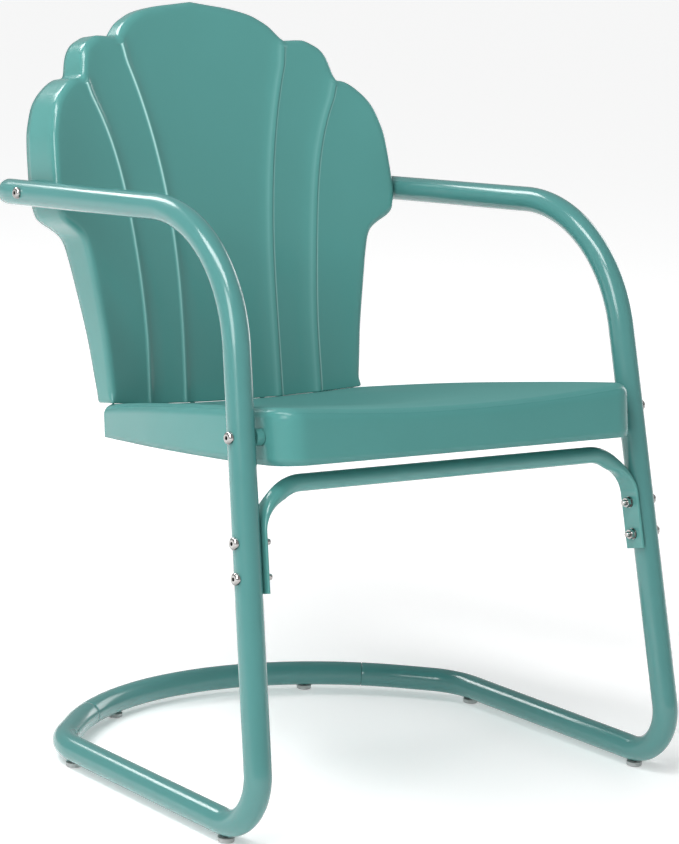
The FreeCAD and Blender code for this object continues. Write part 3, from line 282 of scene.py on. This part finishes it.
def sweep(path, radius, n=48, caps=True, ends=0.0, radii=None):
    """round tube along a path, without twist; ends rounds the cut edges a little"""
    P = np.array(path, float)
    T = np.gradient(P, axis=0)
    T = np.diff(P, axis=0)
    T = T / np.linalg.norm(T, axis=1)[:, None]
    tang = np.vstack([T[0], (T[:-1] + T[1:]) / 2, T[-1]])
    tang /= np.linalg.norm(tang, axis=1)[:, None]
    ref = np.array([0, 0, 1.0]) if abs(tang[0][2]) < 0.8 else np.array([0, 1.0, 0])
    u = np.cross(tang[0], ref); u /= np.linalg.norm(u)
    rings, rr = [], []
    seq = [(i, radius if radii is None else radii[i], 0.0) for i in range(len(P))]
    if ends > 0:
        seq = [(0, seq[0][1] - ends, 0.0), (0, seq[0][1] - ends * 0.3, ends * 0.3), (0, seq[0][1], ends)] + seq[1:-1] + [(len(P) - 1, seq[-1][1], -ends), (len(P) - 1, seq[-1][1] - ends * 0.3, -ends * 0.3), (len(P) - 1, seq[-1][1] - ends, 0.0)]
    verts = []
    last = 0
    for (i, r, off) in seq:
        t = tang[i]
        u = u - t * (u @ t); u /= np.linalg.norm(u)
        v = np.cross(t, u)
        for k in range(n):
            a = 2 * math.pi * k / n
            verts.append(P[i] + t * off + (u * math.cos(a) + v * math.sin(a)) * r)
    m = len(seq)
    faces = []
    for j in range(m - 1):
        for k in range(n):
            k2 = (k + 1) % n
            faces.append([j * n + k, j * n + k2, (j + 1) * n + k2, (j + 1) * n + k])
    if caps:
        faces.append(list(range(n - 1, -1, -1)))
        faces.append([(m - 1) * n + k for k in range(n)])
    return verts, faces


RAIL_BEND_Y, RB, RB_ANG, STUB, RARC = 44.7, 77.7, math.radians(45.0), 33.0, 335.96
E1 = np.array([FRAME_HALF - RB * (1 - math.cos(RB_ANG)), RAIL_BEND_Y + RB * math.sin(RB_ANG)])
E2 = E1 + np.array([-math.sin(RB_ANG), math.cos(RB_ANG)]) * STUB
CARC = E2 - RARC * np.array([math.cos(RB_ANG), math.sin(RB_ANG)])
SEAM = math.radians(53.9)
SEAM_GAP = 0.5 / RARC / 2


def side_path(s):
    arm_end = np.array([ARM_END_Y, V_UP[1] - (ARM_END_Y - V_UP[0]) * math.tan(ARM_SLOPE)])
    rear = np.array([200.0, 0.0])
    up = fillet2(arm_end, V_UP, V_LOW, R_UP, 44)
    low = fillet2(V_UP, V_LOW, rear, R_LOW, 34)
    plane = chain(line_pts(arm_end, up[0], 12), up, line_pts(up[-1], low[0], 10), low)
    pts = []
    for (y, z) in plane:
        pts.append([s * (FRAME_HALF - math.sin(LEAN) * z), y, RAIL_Z + math.cos(LEAN) * z])
    q = []
    q += line_pts(np.array([FRAME_HALF, low[-1][0]]), np.array([FRAME_HALF, RAIL_BEND_Y]), 12)
    c1 = np.array([FRAME_HALF - RB, RAIL_BEND_Y])
    q += [c1 + RB * np.array([math.cos(a), math.sin(a)]) for a in np.linspace(0, RB_ANG, 22)]
    q += line_pts(E1, E2, 11)
    q += [CARC + RARC * np.array([math.cos(a), math.sin(a)]) for a in np.linspace(RB_ANG, SEAM - SEAM_GAP, 10)]
    pts += [[s * x, y, RAIL_Z] for x, y in q]
    return chain(pts)


for s, side in ((-1, "left"), (1, "right")):
    v, f = sweep(side_path(s), TUBE_R, 56, True, 0.5)
    ob = outward(new_object(side + "_side_tube", v, f, True, TEAL_TUBE))
    sharp_by_angle(ob, 60)
    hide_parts(side + "_arm_tube", side + "_spring_bend", side + "_floor_rail")
    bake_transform(ob)

rear = [[RARC * math.cos(a), CARC[1] + RARC * math.sin(a), RAIL_Z] for a in np.linspace(SEAM + SEAM_GAP, math.pi - SEAM - SEAM_GAP, 90)]
v, f = sweep(rear, TUBE_R, 56, True, 0.5)
ob = outward(new_object("rear_tube", v, f, True, TEAL_TUBE))
sharp_by_angle(ob, 60)
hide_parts("rear_base_tube")
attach(ob, "base")

# ---------------------------------------------------------------- pressed sheet shells


def resample(pts, step, closed=False):
    P = [np.array(p, float) for p in pts]
    if closed:
        P = P + [P[0]]
    P = np.array(P)
    d = np.r_[0, np.cumsum(np.linalg.norm(np.diff(P, axis=0), axis=1))]
    n = max(2, int(round(d[-1] / step)))
    q = np.linspace(0, d[-1], n + 1)
    out = np.stack([np.interp(q, d, P[:, k]) for k in range(P.shape[1])], 1)
    return out[:-1] if closed else out


def catmull(pts, n=8, closed=False):
    """smooth curve through the points (centripetal), n samples a span"""
    P = [np.array(p, float) for p in pts]
    m = len(P)
    out = []
    rng = range(m) if closed else range(m - 1)
    for i in rng:
        p1, p2 = P[i], P[(i + 1) % m]
        p0 = P[(i - 1) % m] if (closed or i > 0) else 2 * p1 - p2
        p3 = P[(i + 2) % m] if (closed or i < m - 2) else 2 * p2 - p1
        t0 = 0.0
        t1 = t0 + max(np.linalg.norm(p1 - p0), 1e-6) ** 0.5
        t2 = t1 + max(np.linalg.norm(p2 - p1), 1e-6) ** 0.5
        t3 = t2 + max(np.linalg.norm(p3 - p2), 1e-6) ** 0.5
        for k in range(n):
            t = t1 + (t2 - t1) * k / n
            a1 = (t1 - t) / (t1 - t0) * p0 + (t - t0) / (t1 - t0) * p1
            a2 = (t2 - t) / (t2 - t1) * p1 + (t - t1) / (t2 - t1) * p2
            a3 = (t3 - t) / (t3 - t2) * p2 + (t - t2) / (t3 - t2) * p3
            b1 = (t2 - t) / (t2 - t0) * a1 + (t - t0) / (t2 - t0) * a2
            b2 = (t3 - t) / (t3 - t1) * a2 + (t - t1) / (t3 - t1) * a3
            out.append((t2 - t) / (t2 - t1) * b1 + (t - t1) / (t2 - t1) * b2)
    if not closed:
        out.append(P[-1])
    return np.array(out)


def closed_normals(O):
    """inward normals of a closed outline that runs clockwise or anticlockwise"""
    t = np.roll(O, -1, 0) - np.roll(O, 1, 0)
    t /= np.linalg.norm(t, axis=1)[:, None]
    area = 0.5 * np.sum(O[:, 0] * np.roll(O[:, 1], -1) - np.roll(O[:, 0], -1) * O[:, 1])
    n = np.stack([-t[:, 1], t[:, 0]], 1)
    return n if area > 0 else -n


def near(points, p, d):
    return len(points) and float(np.min(np.sum((points - p) ** 2, axis=1))) < d * d


def pressed(outline, roll, face, rear, creases, grid=4.0, rings=9, skirt_rows=6, thick=1.2, hem=0.0, keep_out=2.0, tip=None):
    """a pressed sheet: face(x,v) gives the front height, the rim rolls over with radius roll and runs to rear(x,v).
    Returns verts (x, v, height) and faces; height grows towards the front. The sheet has real thickness."""
    O = np.array(outline, float)
    Nn = closed_normals(O)
    n = len(O)
    rolls = np.full(n, roll) if np.isscalar(roll) else np.array(roll, float)
    ring_xy, ring_h = [], []
    for k in range(rings):
        th = (math.pi / 2) * k / (rings - 1)
        xy = O + Nn * (rolls * (1 - math.sin(th)))[:, None]
        h = face(xy[:, 0], xy[:, 1]) - rolls * (1 - math.cos(th))
        ring_xy.append(xy); ring_h.append(h)
    fold = ring_xy[0]
    # face mesh
    pts = [Vector(p) for p in fold]
    edges = [(i, (i + 1) % n) for i in range(n)]
    taken = [fold]
    inside_poly = fold
    def inside(P, poly):
        x, y = P[:, 0], P[:, 1]
        c = np.zeros(len(P), bool)
        j = len(poly) - 1
        for i in range(len(poly)):
            xi, yi = poly[i]; xj, yj = poly[j]
            hit = ((yi > y) != (yj > y)) & (x < (xj - xi) * (y - yi) / ((yj - yi) or 1e-12) + xi)
            c ^= hit
            j = i
        return c
    all_crease = []
    for c in creases:
        q = np.array(c, float)
        ok = inside(q, inside_poly)
        d = np.array([np.min(np.sum((fold - p) ** 2, axis=1)) for p in q])
        ok &= d > 1.0 ** 2
        run = []
        for i in range(len(q)):
            if ok[i]:
                run.append(len(pts)); pts.append(Vector(q[i])); all_crease.append(q[i])
                if len(run) > 1:
                    edges.append((run[-2], run[-1]))
            else:
                run = []
    taken = np.vstack([fold] + ([np.array(all_crease)] if all_crease else []))
    lo, hi = fold.min(0), fold.max(0)
    nx = int(math.ceil(max(abs(lo[0]), abs(hi[0])) / grid))
    gx = np.arange(-nx, nx + 1) * grid
    gy = np.arange(lo[1], hi[1], grid)
    G = np.array([(x, y) for y in gy for x in gx])
    G = G[inside(G, inside_poly)]
    keep = []
    for a in range(0, len(G), 2000):
        g = G[a:a + 2000]
        d = np.min(((g[:, None, :] - taken[None]) ** 2).sum(-1), axis=1)
        keep.append(g[d > keep_out ** 2])
    G = np.vstack(keep)
    pts += [Vector(p) for p in G]
    vo, eo, fo, ov, oe, of_ = delaunay_2d_cdt(pts, edges, [], 1, 1e-5)
    vo = np.array([[p.x, p.y] for p in vo])
    # index of fold vertices in the output
    fold_idx = {}
    for i, srcs in enumerate(ov):
        for sidx in srcs:
            if sidx < n:
                fold_idx[sidx] = i
    verts = [(x, y, z) for (x, y), z in zip(vo, face(vo[:, 0], vo[:, 1]))]
    faces = []
    for t in fo:
        a, b, c = [vo[i] for i in t]
        ar = (b[0] - a[0]) * (c[1] - a[1]) - (b[1] - a[1]) * (c[0] - a[0])
        faces.append(list(t) if ar > 0 else list(reversed(t)))
    area = 0.5 * np.sum(O[:, 0] * np.roll(O[:, 1], -1) - np.roll(O[:, 0], -1) * O[:, 1])
    prev = [fold_idx[i] for i in range(n)]
    rows = []
    for k in range(1, rings):
        start = len(verts)
        verts += [(x, y, z) for (x, y), z in zip(ring_xy[k], ring_h[k])]
        rows.append(list(range(start, start + n)))
    top_h = ring_h[-1]
    rr = rear(O[:, 0], O[:, 1])
    rr = np.minimum(rr, top_h - 0.5)
    for k in range(1, skirt_rows + 1):
        f = k / skirt_rows
        start = len(verts)
        hh = top_h + (rr - top_h) * f
        out = O - Nn * (hem * max(0.0, f - 0.0) ** 2)
        verts += [(x, y, z) for (x, y), z in zip(out, hh)]
        rows.append(list(range(start, start + n)))
    for row in rows:
        for i in range(n):
            j = (i + 1) % n
            q = [prev[i], prev[j], row[j], row[i]]
            faces.append(q[::-1] if area > 0 else q)
        prev = row
    V = np.array(verts, float)
    F = faces
    # vertex normals for the thickness
    nrm = np.zeros_like(V)
    for f in F:
        a, b, c = V[f[0]], V[f[1]], V[f[2]]
        m = np.cross(b - a, c - a)
        for i in f:
            nrm[i] += m
    nrm /= np.maximum(np.linalg.norm(nrm, axis=1), 1e-12)[:, None]
    off = len(V)
    V2 = V - nrm * thick
    rim = prev
    back = [[i + off for i in reversed(f)] for f in F]
    edge = []
    for i in range(n):
        j = (i + 1) % n
        q = [rim[i], rim[j], rim[j] + off, rim[i] + off]
        edge.append(q[::-1] if area > 0 else q)
    return np.vstack([V, V2]), F + back + edge


# ---------------------------------------------------------------- seat surface
ST = math.radians(8.2)
SY0, SZ0 = -40.0, 415.6
CS, SS = math.cos(ST), math.sin(ST)


def s_world(x, t, h):
    return np.stack([x, SY0 + t * CS + h * SS, SZ0 - t * SS + h * CS], -1)


SIDE = [(-172.0, 243.0), (-140.0, 242.2), (-99.0, 239.0), (-40.6, 231.5), (17.8, 222.5), (82.2, 211.0), (141.6, 198.0), (186.9, 188.0), (224.0, 179.5)]
FRONT, REAR = -207.4, 244.0
HALF_W = 243.0


def seat_h(x, t):
    x = np.asarray(x, float); t = np.asarray(t, float)
    h = x * x / (2 * 2618.0) - 11.0
    d2 = x * x + (t - 20.0) ** 2
    h = h - 7.0 * np.clip(1 - d2 / 150.0 ** 2, 0, 1) ** 2 - 4.5 * (np.maximum(t, 0.0) / 220.0) ** 2
    return h


def seat_bottom(x, t):
    return -53.5 + 0.0304 * np.asarray(t, float)


# ---------------------------------------------------------------- back shell
BT = math.radians(8.0)
BY0, BZ0 = 177.0, 372.0
CB, SB = math.cos(BT), math.sin(BT)


def surf(x, z):
    q = (z - 372.0) / 100.0
    return 180.5 + 15.5 * q + 2.2 * q * q - 6.2e-4 * x * x


def b_local(x, y, z):
    return x, (y - BY0) * SB + (z - BZ0) * CB, (y - BY0) * CB - (z - BZ0) * SB


def b_world(x, v, w):
    return np.stack([x, BY0 + w * CB + v * SB, BZ0 + v * CB - w * SB], -1)


def xz_to_xv(p):
    x, z = p
    _, v, w = b_local(x, surf(x, z), z)
    return (x, v)


# base surface as a polynomial of the local coordinates
_X, _Zz = np.meshgrid(np.linspace(-260, 260, 41), np.linspace(300, 860, 41))
_x, _v, _w = b_local(_X.ravel(), surf(_X.ravel(), _Zz.ravel()), _Zz.ravel())


def _terms(x, v):
    x2 = (x / 100.0) ** 2
    q = v / 100.0
    return np.stack([np.ones_like(q), q, q ** 2, q ** 3, q ** 4, x2, x2 * q, x2 * q * q, x2 * x2], -1)


_coef = np.linalg.lstsq(_terms(_x, _v), _w, rcond=None)[0]


def base_w(x, v):
    return _terms(np.asarray(x, float), np.asarray(v, float)) @ _coef


RIM = [(0, 824), (25, 821), (52, 817.6), (79, 811.4), (91, 806), (103.5, 798.3), (111.5, 790.0), (116.2, 784.4), (119.0, 782.6), (122.5, 782.6), (127.7, 782.9), (141, 783.7), (148, 783.3),
       (156.4, 780), (166, 774.5), (172.5, 766.5), (175.8, 758.4), (177.9, 749), (179.2, 742.0), (181.0, 738.9), (184.5, 737.8), (192.6, 736.6), (202, 732), (210, 726), (218, 718.5), (225.5, 708),
       (231, 694), (235.4, 678), (237.5, 659), (238.6, 642.5), (239.5, 624), (239.5, 609), (238, 597.6), (235, 587), (229, 580.4), (217, 572.6),
       (207.5, 565), (202.5, 557), (197, 538), (192, 514.6), (187.6, 491), (184, 467.5), (181, 444), (178, 408), (176, 375), (175.5, 352.0)]
RIM = [(x + 2.2 * min(1.0, max(0.0, (560.0 - z) / 60.0)), z) for x, z in RIM]
RIM_V = [xz_to_xv(p) for p in RIM]


def seat_line(x):
    """height of the seat's top where the back's face stands on it"""
    z = 370.0 + 0.0 * np.asarray(x, float)
    for _ in range(6):
        y = surf(x, z) - SY0
        h = 0.0
        for _ in range(4):
            t = (y - h * SS) / CS
            h = seat_h(x, t)
        z = SZ0 - t * SS + h * CS
    return z


FOOT_GAP = 0.35


def foot_v(x):
    x = np.asarray(x, float)
    z = seat_line(x)
    return b_local(x, surf(x, z), z)[1] + FOOT_GAP


RIM_V = RIM_V[:-2] + [xz_to_xv((178.8, 392.0))]
half = catmull(RIM_V, 10)
fx = 178.1
fv = float(foot_v(fx))
corner = [(178.3, fv + 3.0), (177.8, fv + 0.9), (176.8, fv + 0.15)] + [(x, float(foot_v(x))) for x in np.linspace(174.7, 0, 60)]
right = np.vstack([half, np.array(corner)])
LOW_V = float(foot_v(0.0))
full = np.vstack([right[:-1], np.array([(-x, v) for x, v in right[::-1]])[:-1]])
OUT = resample(full, 2.2, True)

INNER1 = [(116.2, 779), (110.3, 765), (105.4, 752.7), (100.2, 740.4), (96.5, 729), (92.6, 717), (88.6, 703.4), (84.9, 688.8), (81.6, 673.4), (78.1, 656.3), (75.5, 644.3), (73, 630.4), (70.6, 617), (68.9, 604.4), (64.7, 562), (62.9, 543), (61.6, 508.5), (61.4, 474), (61.4, 440.7), (61.6, 418), (62, 394.7), (62.5, 372)]
OUTER1 = [(175.3, 732.7), (170.4, 724.7), (164.7, 714.4), (159.1, 703.8), (153.7, 691.6), (149, 678.9), (143.8, 664.2), (139, 648.2), (134.8, 631.8), (131.2, 614), (126.6, 579.3), (123.6, 556), (121.5, 539), (119.4, 519.8), (117.6, 495.3), (116.5, 471.8), (115.5, 449), (115.7, 421.7), (116.1, 398.8), (116.5, 376.7)]


class Line:
    """x as a smooth function of v along a ridge's foot"""

    def __init__(self, pts, shift=None):
        q = np.array([xz_to_xv(p) for p in pts])
        self.lo, self.hi = q[:, 1].min(), q[:, 1].max()
        self.mid, self.half = (self.lo + self.hi) / 2, (self.hi - self.lo) / 2
        self.c = np.polyfit((q[:, 1] - self.mid) / self.half, q[:, 0], 6)
        self.d = np.polyder(self.c)
        self.shift = shift

    def __call__(self, v):
        v = np.asarray(v, float)
        t = (v - self.mid) / self.half
        tc = np.clip(t, -1.0, 1.0)
        x = np.polyval(self.c, tc) + np.polyval(self.d, tc) * (t - tc)
        return x if self.shift is None else x + self.shift(v)


V_TOP1 = xz_to_xv((118.3, 782.4))[1]
V_TOP2 = xz_to_xv((180.6, 738.6))[1]


def step01(t):
    t = np.clip(t, 0, 1)
    return t * t * (3 - 2 * t)


A1 = Line(INNER1)
A2 = Line(INNER1, lambda v: 7.1 - 5.6 * step01((v - (V_TOP1 - 34)) / 34))
B1 = Line(OUTER1)
B2 = Line(OUTER1, lambda v: 6.6 - 4.4 * step01((v - (V_TOP2 - 26)) / 26))


def smooth(t):
    t = np.clip(t, 0, 1)
    return t * t * (3 - 2 * t)


def ridge(ax, v, crest, rise, lead, fall):
    """cove rising from the middle of the chair, rounded crest, short step, then a gentle fall outwards"""
    b = crest(v)
    out = np.zeros_like(ax)
    foot = b - lead
    top = b - 5.2
    t = (ax - foot) / (top - foot)
    out = np.where((t > 0) & (t <= 1), rise * np.clip(t, 0, 1) ** 2.8, out)
    u = (ax - top) / 3.6
    cap = 2.8 * rise / (lead - 5.2) * 1.8
    out = np.where((u > 0) & (u <= 1), rise + cap * (1 - (1 - np.clip(u, 0, 1)) ** 2), out)
    w = (ax - (b - 1.6)) / 3.2
    drop = 1.9
    out = np.where((w > 0) & (w <= 1), rise + cap - drop * smooth(w), out)
    t = (ax - (b + 1.6)) / fall
    out = np.where((t > 0) & (t < 1), (rise + cap - drop) * (1 - np.clip(t, 0, 1)) ** 1.5, out)
    return out


def relief(x, v):
    """height of the four pressed ridges"""
    ax = np.abs(np.asarray(x, float))
    v = np.asarray(v, float)
    return ridge(ax, v, A2, 2.5, 24.0, 40.0) + ridge(ax, v, B2, 2.5, 24.0, 42.0)


def back_front(x, v):
    """height towards the front"""
    return -(base_w(x, v)) + relief(x, v)


def back_rear(x, v):
    x = np.asarray(x, float)
    v = np.asarray(v, float)
    plane = 9.7 + 0.1332 * v + 2.6 * (1 - smooth((v - 350) / 75))
    low = np.clip((v - foot_v(x) - 1.0) / 9.0, 0, 1)
    shelf = base_w(x, v) + 19.0
    side = np.clip((np.abs(x) - 150.0) / 20.0, 0, 1)
    shelf = shelf * (1 - side) + np.minimum(plane, shelf) * side
    return -(plane * low + np.maximum(shelf, plane) * (1 - low))


rolls = np.where(OUT[:, 1] - foot_v(OUT[:, 0]) < 6.0, 1.2, 9.0)
for _ in range(6):
    rolls = (np.roll(rolls, 1) + rolls + np.roll(rolls, -1)) / 3


creases = []
for sgn in (-1, 1):
    for L1, L2 in ((A1, A2), (B1, B2)):
        v = np.arange(LOW_V + 6, (V_TOP1 if L1 is A1 else V_TOP2) - 1.0, 2.4)
        a, b = L1(v), L2(v)
        for xx in (b - 24.0, b - 16.0, b - 11.0, b - 8.0, b - 6.4, b - 5.2, b - 4.0, b - 2.8, b - 1.6, b - 1.0, b - 0.5, b, b + 0.5, b + 1.0, b + 1.6, b + 3.0, b + 5.0, b + 10.0):
            creases.append(np.stack([sgn * xx, v], 1))
V, F = pressed(OUT, rolls, back_front, back_rear, creases, grid=5.0, keep_out=2.4, hem=0.0)
W = b_world(V[:, 0], V[:, 1], -V[:, 2])
ob = new_object("back_shell_sheet", W, F, True, TEAL_BACK)
# painted highlight: the front face is coloured paler along the pressed ridge edges, on the right half (x > 0) most
# strongly near the bottom and on the left half most strongly near the top, standing in for the light the ridges catch
ax = np.abs(V[:, 0])
hi = smooth((V[:, 1] - 40.0) / 330.0)
painted_crest_highlight = np.zeros(len(V))
for line in (A2, B2):
    d = ax - line(V[:, 1])
    right = np.exp(-((d - 1.5) / 0.75) ** 2) * (0.62 - 0.38 * hi) + np.exp(-((d + 6.6) / 1.7) ** 2) * 0.10
    left = np.exp(-((d + 0.9) / 0.9) ** 2) * (0.22 + 0.66 * hi)
    painted_crest_highlight += np.where(V[:, 0] > 0, right, left)
front = np.abs(V[:, 2] - back_front(V[:, 0], V[:, 1])) < 0.25
att = ob.data.attributes.new("crest", "FLOAT", "POINT")
att.data.foreach_set("value", np.where(front, np.clip(painted_crest_highlight, 0, 1), 0.0).astype(np.float32))
outward(ob)
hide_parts("back_shell")
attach(ob, "seat_unit")

# seat plan
def rear_t(x):
    return REAR - 6.2e-4 * x * x


R1 = 32.0
sp = catmull([(HALF_W, FRONT + R1)] + [(w, t) for t, w in SIDE[1:-1]] + [(181.2, 216.0)], 10)
arc = [(HALF_W - R1 + R1 * math.cos(a), FRONT + R1 + R1 * math.sin(a)) for a in np.linspace(-math.pi / 2, 0, 18)]
rc = 8.0
end = sp[-1]
xr = end[0] - rc
rcorner = [(xr + (end[0] - xr) * math.cos(a), end[1] + (rear_t(xr) - end[1]) * math.sin(a)) for a in np.linspace(0, math.pi / 2, 10)][1:]
rearpts = [(x, rear_t(x)) for x in np.linspace(xr, 0, 40)][1:]
righth = [(x, FRONT) for x in np.linspace(0, HALF_W - R1, 60)][:-1] + arc + [tuple(p) for p in sp[1:]] + rcorner + rearpts
fullseat = righth + [(-x, t) for x, t in righth[::-1]][1:-1]
SOUT = resample(np.array(fullseat), 2.6, True)
V, F = pressed(SOUT, 12.5, seat_h, seat_bottom, [], grid=5.0, keep_out=2.4, rings=11)
W = s_world(V[:, 0], V[:, 1], V[:, 2])
ob = new_object("seat_pan_sheet", W, F, True, TEAL_SEAT)
outward(ob)
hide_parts("seat_pan")
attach(ob, "seat_unit")

# ---------------------------------------------------------------- pieces kept from the frame
PAINTED = ["arm_end_plugs", "seat_crossbar", "seat_side_spacers", "arm_spacers"]
PLASTIC = ["floor_glides"]
PLAIN = ["base_splice_sleeves", "glide_screws"]
for n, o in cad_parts.items():
    if o.hide_render:
        continue
    m = TEAL if n in PAINTED else GLIDE if n in PLASTIC else RAW if n in PLAIN else STEEL
    o.data.materials.clear()
    o.data.materials.append(m)

# ---------------------------------------------------------------- stage, light and camera
def stage_plane(name, size, z, mat):
    me = bpy.data.meshes.new(name)
    me.from_pydata([(-size, -size, z), (size, -size, z), (size, size, z), (-size, size, z)], [], [(0, 1, 2, 3)])
    o = bpy.data.objects.new(name, me)
    bpy.context.scene.collection.objects.link(o)
    me.materials.append(mat)
    return o


fm = bpy.data.materials.new("pale_floor")
nt, N, L = nodes_of(fm)
out = N.new("ShaderNodeOutputMaterial")
b = N.new("ShaderNodeBsdfPrincipled")
b.inputs["Base Color"].default_value = (0.9, 0.9, 0.9, 1)
b.inputs["Roughness"].default_value = 0.8
# the floor glows by itself, weakly near the chair and more strongly further out, so it renders white and also lights
# the chair from below
b.inputs["Emission Color"].default_value = (1, 1, 1, 1)
ftc = N.new("ShaderNodeTexCoord")
fl = N.new("ShaderNodeVectorMath"); fl.operation = "LENGTH"
L.new(ftc.outputs["Object"], fl.inputs[0])
fr = N.new("ShaderNodeMapRange")
fr.inputs["From Min"].default_value = 0.9; fr.inputs["From Max"].default_value = 3.2
fr.inputs["To Min"].default_value = 0.28; fr.inputs["To Max"].default_value = 0.66
L.new(fl.outputs["Value"], fr.inputs["Value"])
L.new(fr.outputs["Result"], b.inputs["Emission Strength"])
L.new(b.outputs["BSDF"], out.inputs["Surface"])
floor = stage_plane("floor", 150.0, -0.0004, fm)

world = bpy.data.worlds.new("studio")
bpy.context.scene.world = world
world.use_nodes = True
bg = world.node_tree.nodes["Background"]
wt = world.node_tree
wc = wt.nodes.new("ShaderNodeTexCoord")
ws = wt.nodes.new("ShaderNodeSeparateXYZ")
wt.links.new(wc.outputs["Generated"], ws.inputs[0])
wr = wt.nodes.new("ShaderNodeValToRGB")
wr.color_ramp.elements[0].position = 0.02
wr.color_ramp.elements[0].color = (0.40, 0.41, 0.41, 1)
wr.color_ramp.elements[1].position = 0.75
wr.color_ramp.elements[1].color = (0.26, 0.26, 0.26, 1)
wt.links.new(ws.outputs["Z"], wr.inputs["Fac"])
wt.links.new(wr.outputs["Color"], bg.inputs["Color"])
bg.inputs["Strength"].default_value = 1.0


def area(name, loc, target, size, power, size_y=None, color=(1, 1, 1)):
    ld = bpy.data.lights.new(name, "AREA")
    ld.energy = power
    ld.shape = "RECTANGLE"
    ld.size = size
    ld.size_y = size_y or size
    ld.color = color
    o = bpy.data.objects.new(name, ld)
    o.location = loc
    d = Vector(target) - Vector(loc)
    o.rotation_euler = d.to_track_quat("-Z", "Y").to_euler()
    bpy.context.scene.collection.objects.link(o)
    return o


area("key_overhead", (-1.5, -0.5, 3.0), (0, 0, 0.5), 2.4, 64, 0.8)
area("left_front", (-2.9, -1.7, 2.1), (0, 0, 0.5), 1.3, 52, 1.8)
area("rear_top", (-0.6, 2.3, 2.6), (0, 0, 0.6), 0.9, 34, 1.4)
area("right_rim", (2.9, 0.9, 1.1), (0, 0, 0.5), 1.0, 14, 1.6)

CAM = {"az": -37.964155900836026, "el": 9.92136740604005, "roll": 3.1378942651576085, "C": (-1900.3238, -2461.8250, 918.0308), "f": 2821.3848}
cd = bpy.data.cameras.new("camera")
cam = bpy.data.objects.new("camera", cd)
bpy.context.scene.collection.objects.link(cam)
bpy.context.scene.camera = cam
cd.sensor_fit = "AUTO"
cd.sensor_width = 36.0
cd.lens = CAM["f"] / 844.0 * 36.0
cd.clip_start, cd.clip_end = 0.1, 400.0
a, e, r = math.radians(CAM["az"]), math.radians(CAM["el"]), math.radians(CAM["roll"])
back = Vector((math.sin(a) * math.cos(e), -math.cos(a) * math.cos(e), math.sin(e)))
rt = Vector((math.cos(a), math.sin(a), 0))
up = back.cross(rt)
rt2 = rt * math.cos(r) + up * math.sin(r)
up2 = up * math.cos(r) - rt * math.sin(r)
m = Matrix((rt2, up2, back)).transposed().to_4x4()
m.translation = Vector((CAM["C"][0] * MM, (CAM["C"][1] - SHIFT) * MM, CAM["C"][2] * MM))
cam.matrix_world = m

sc = bpy.context.scene
sc.view_settings.view_transform = "Standard"
sc.view_settings.look = "None"
sc.view_settings.exposure = 0.0
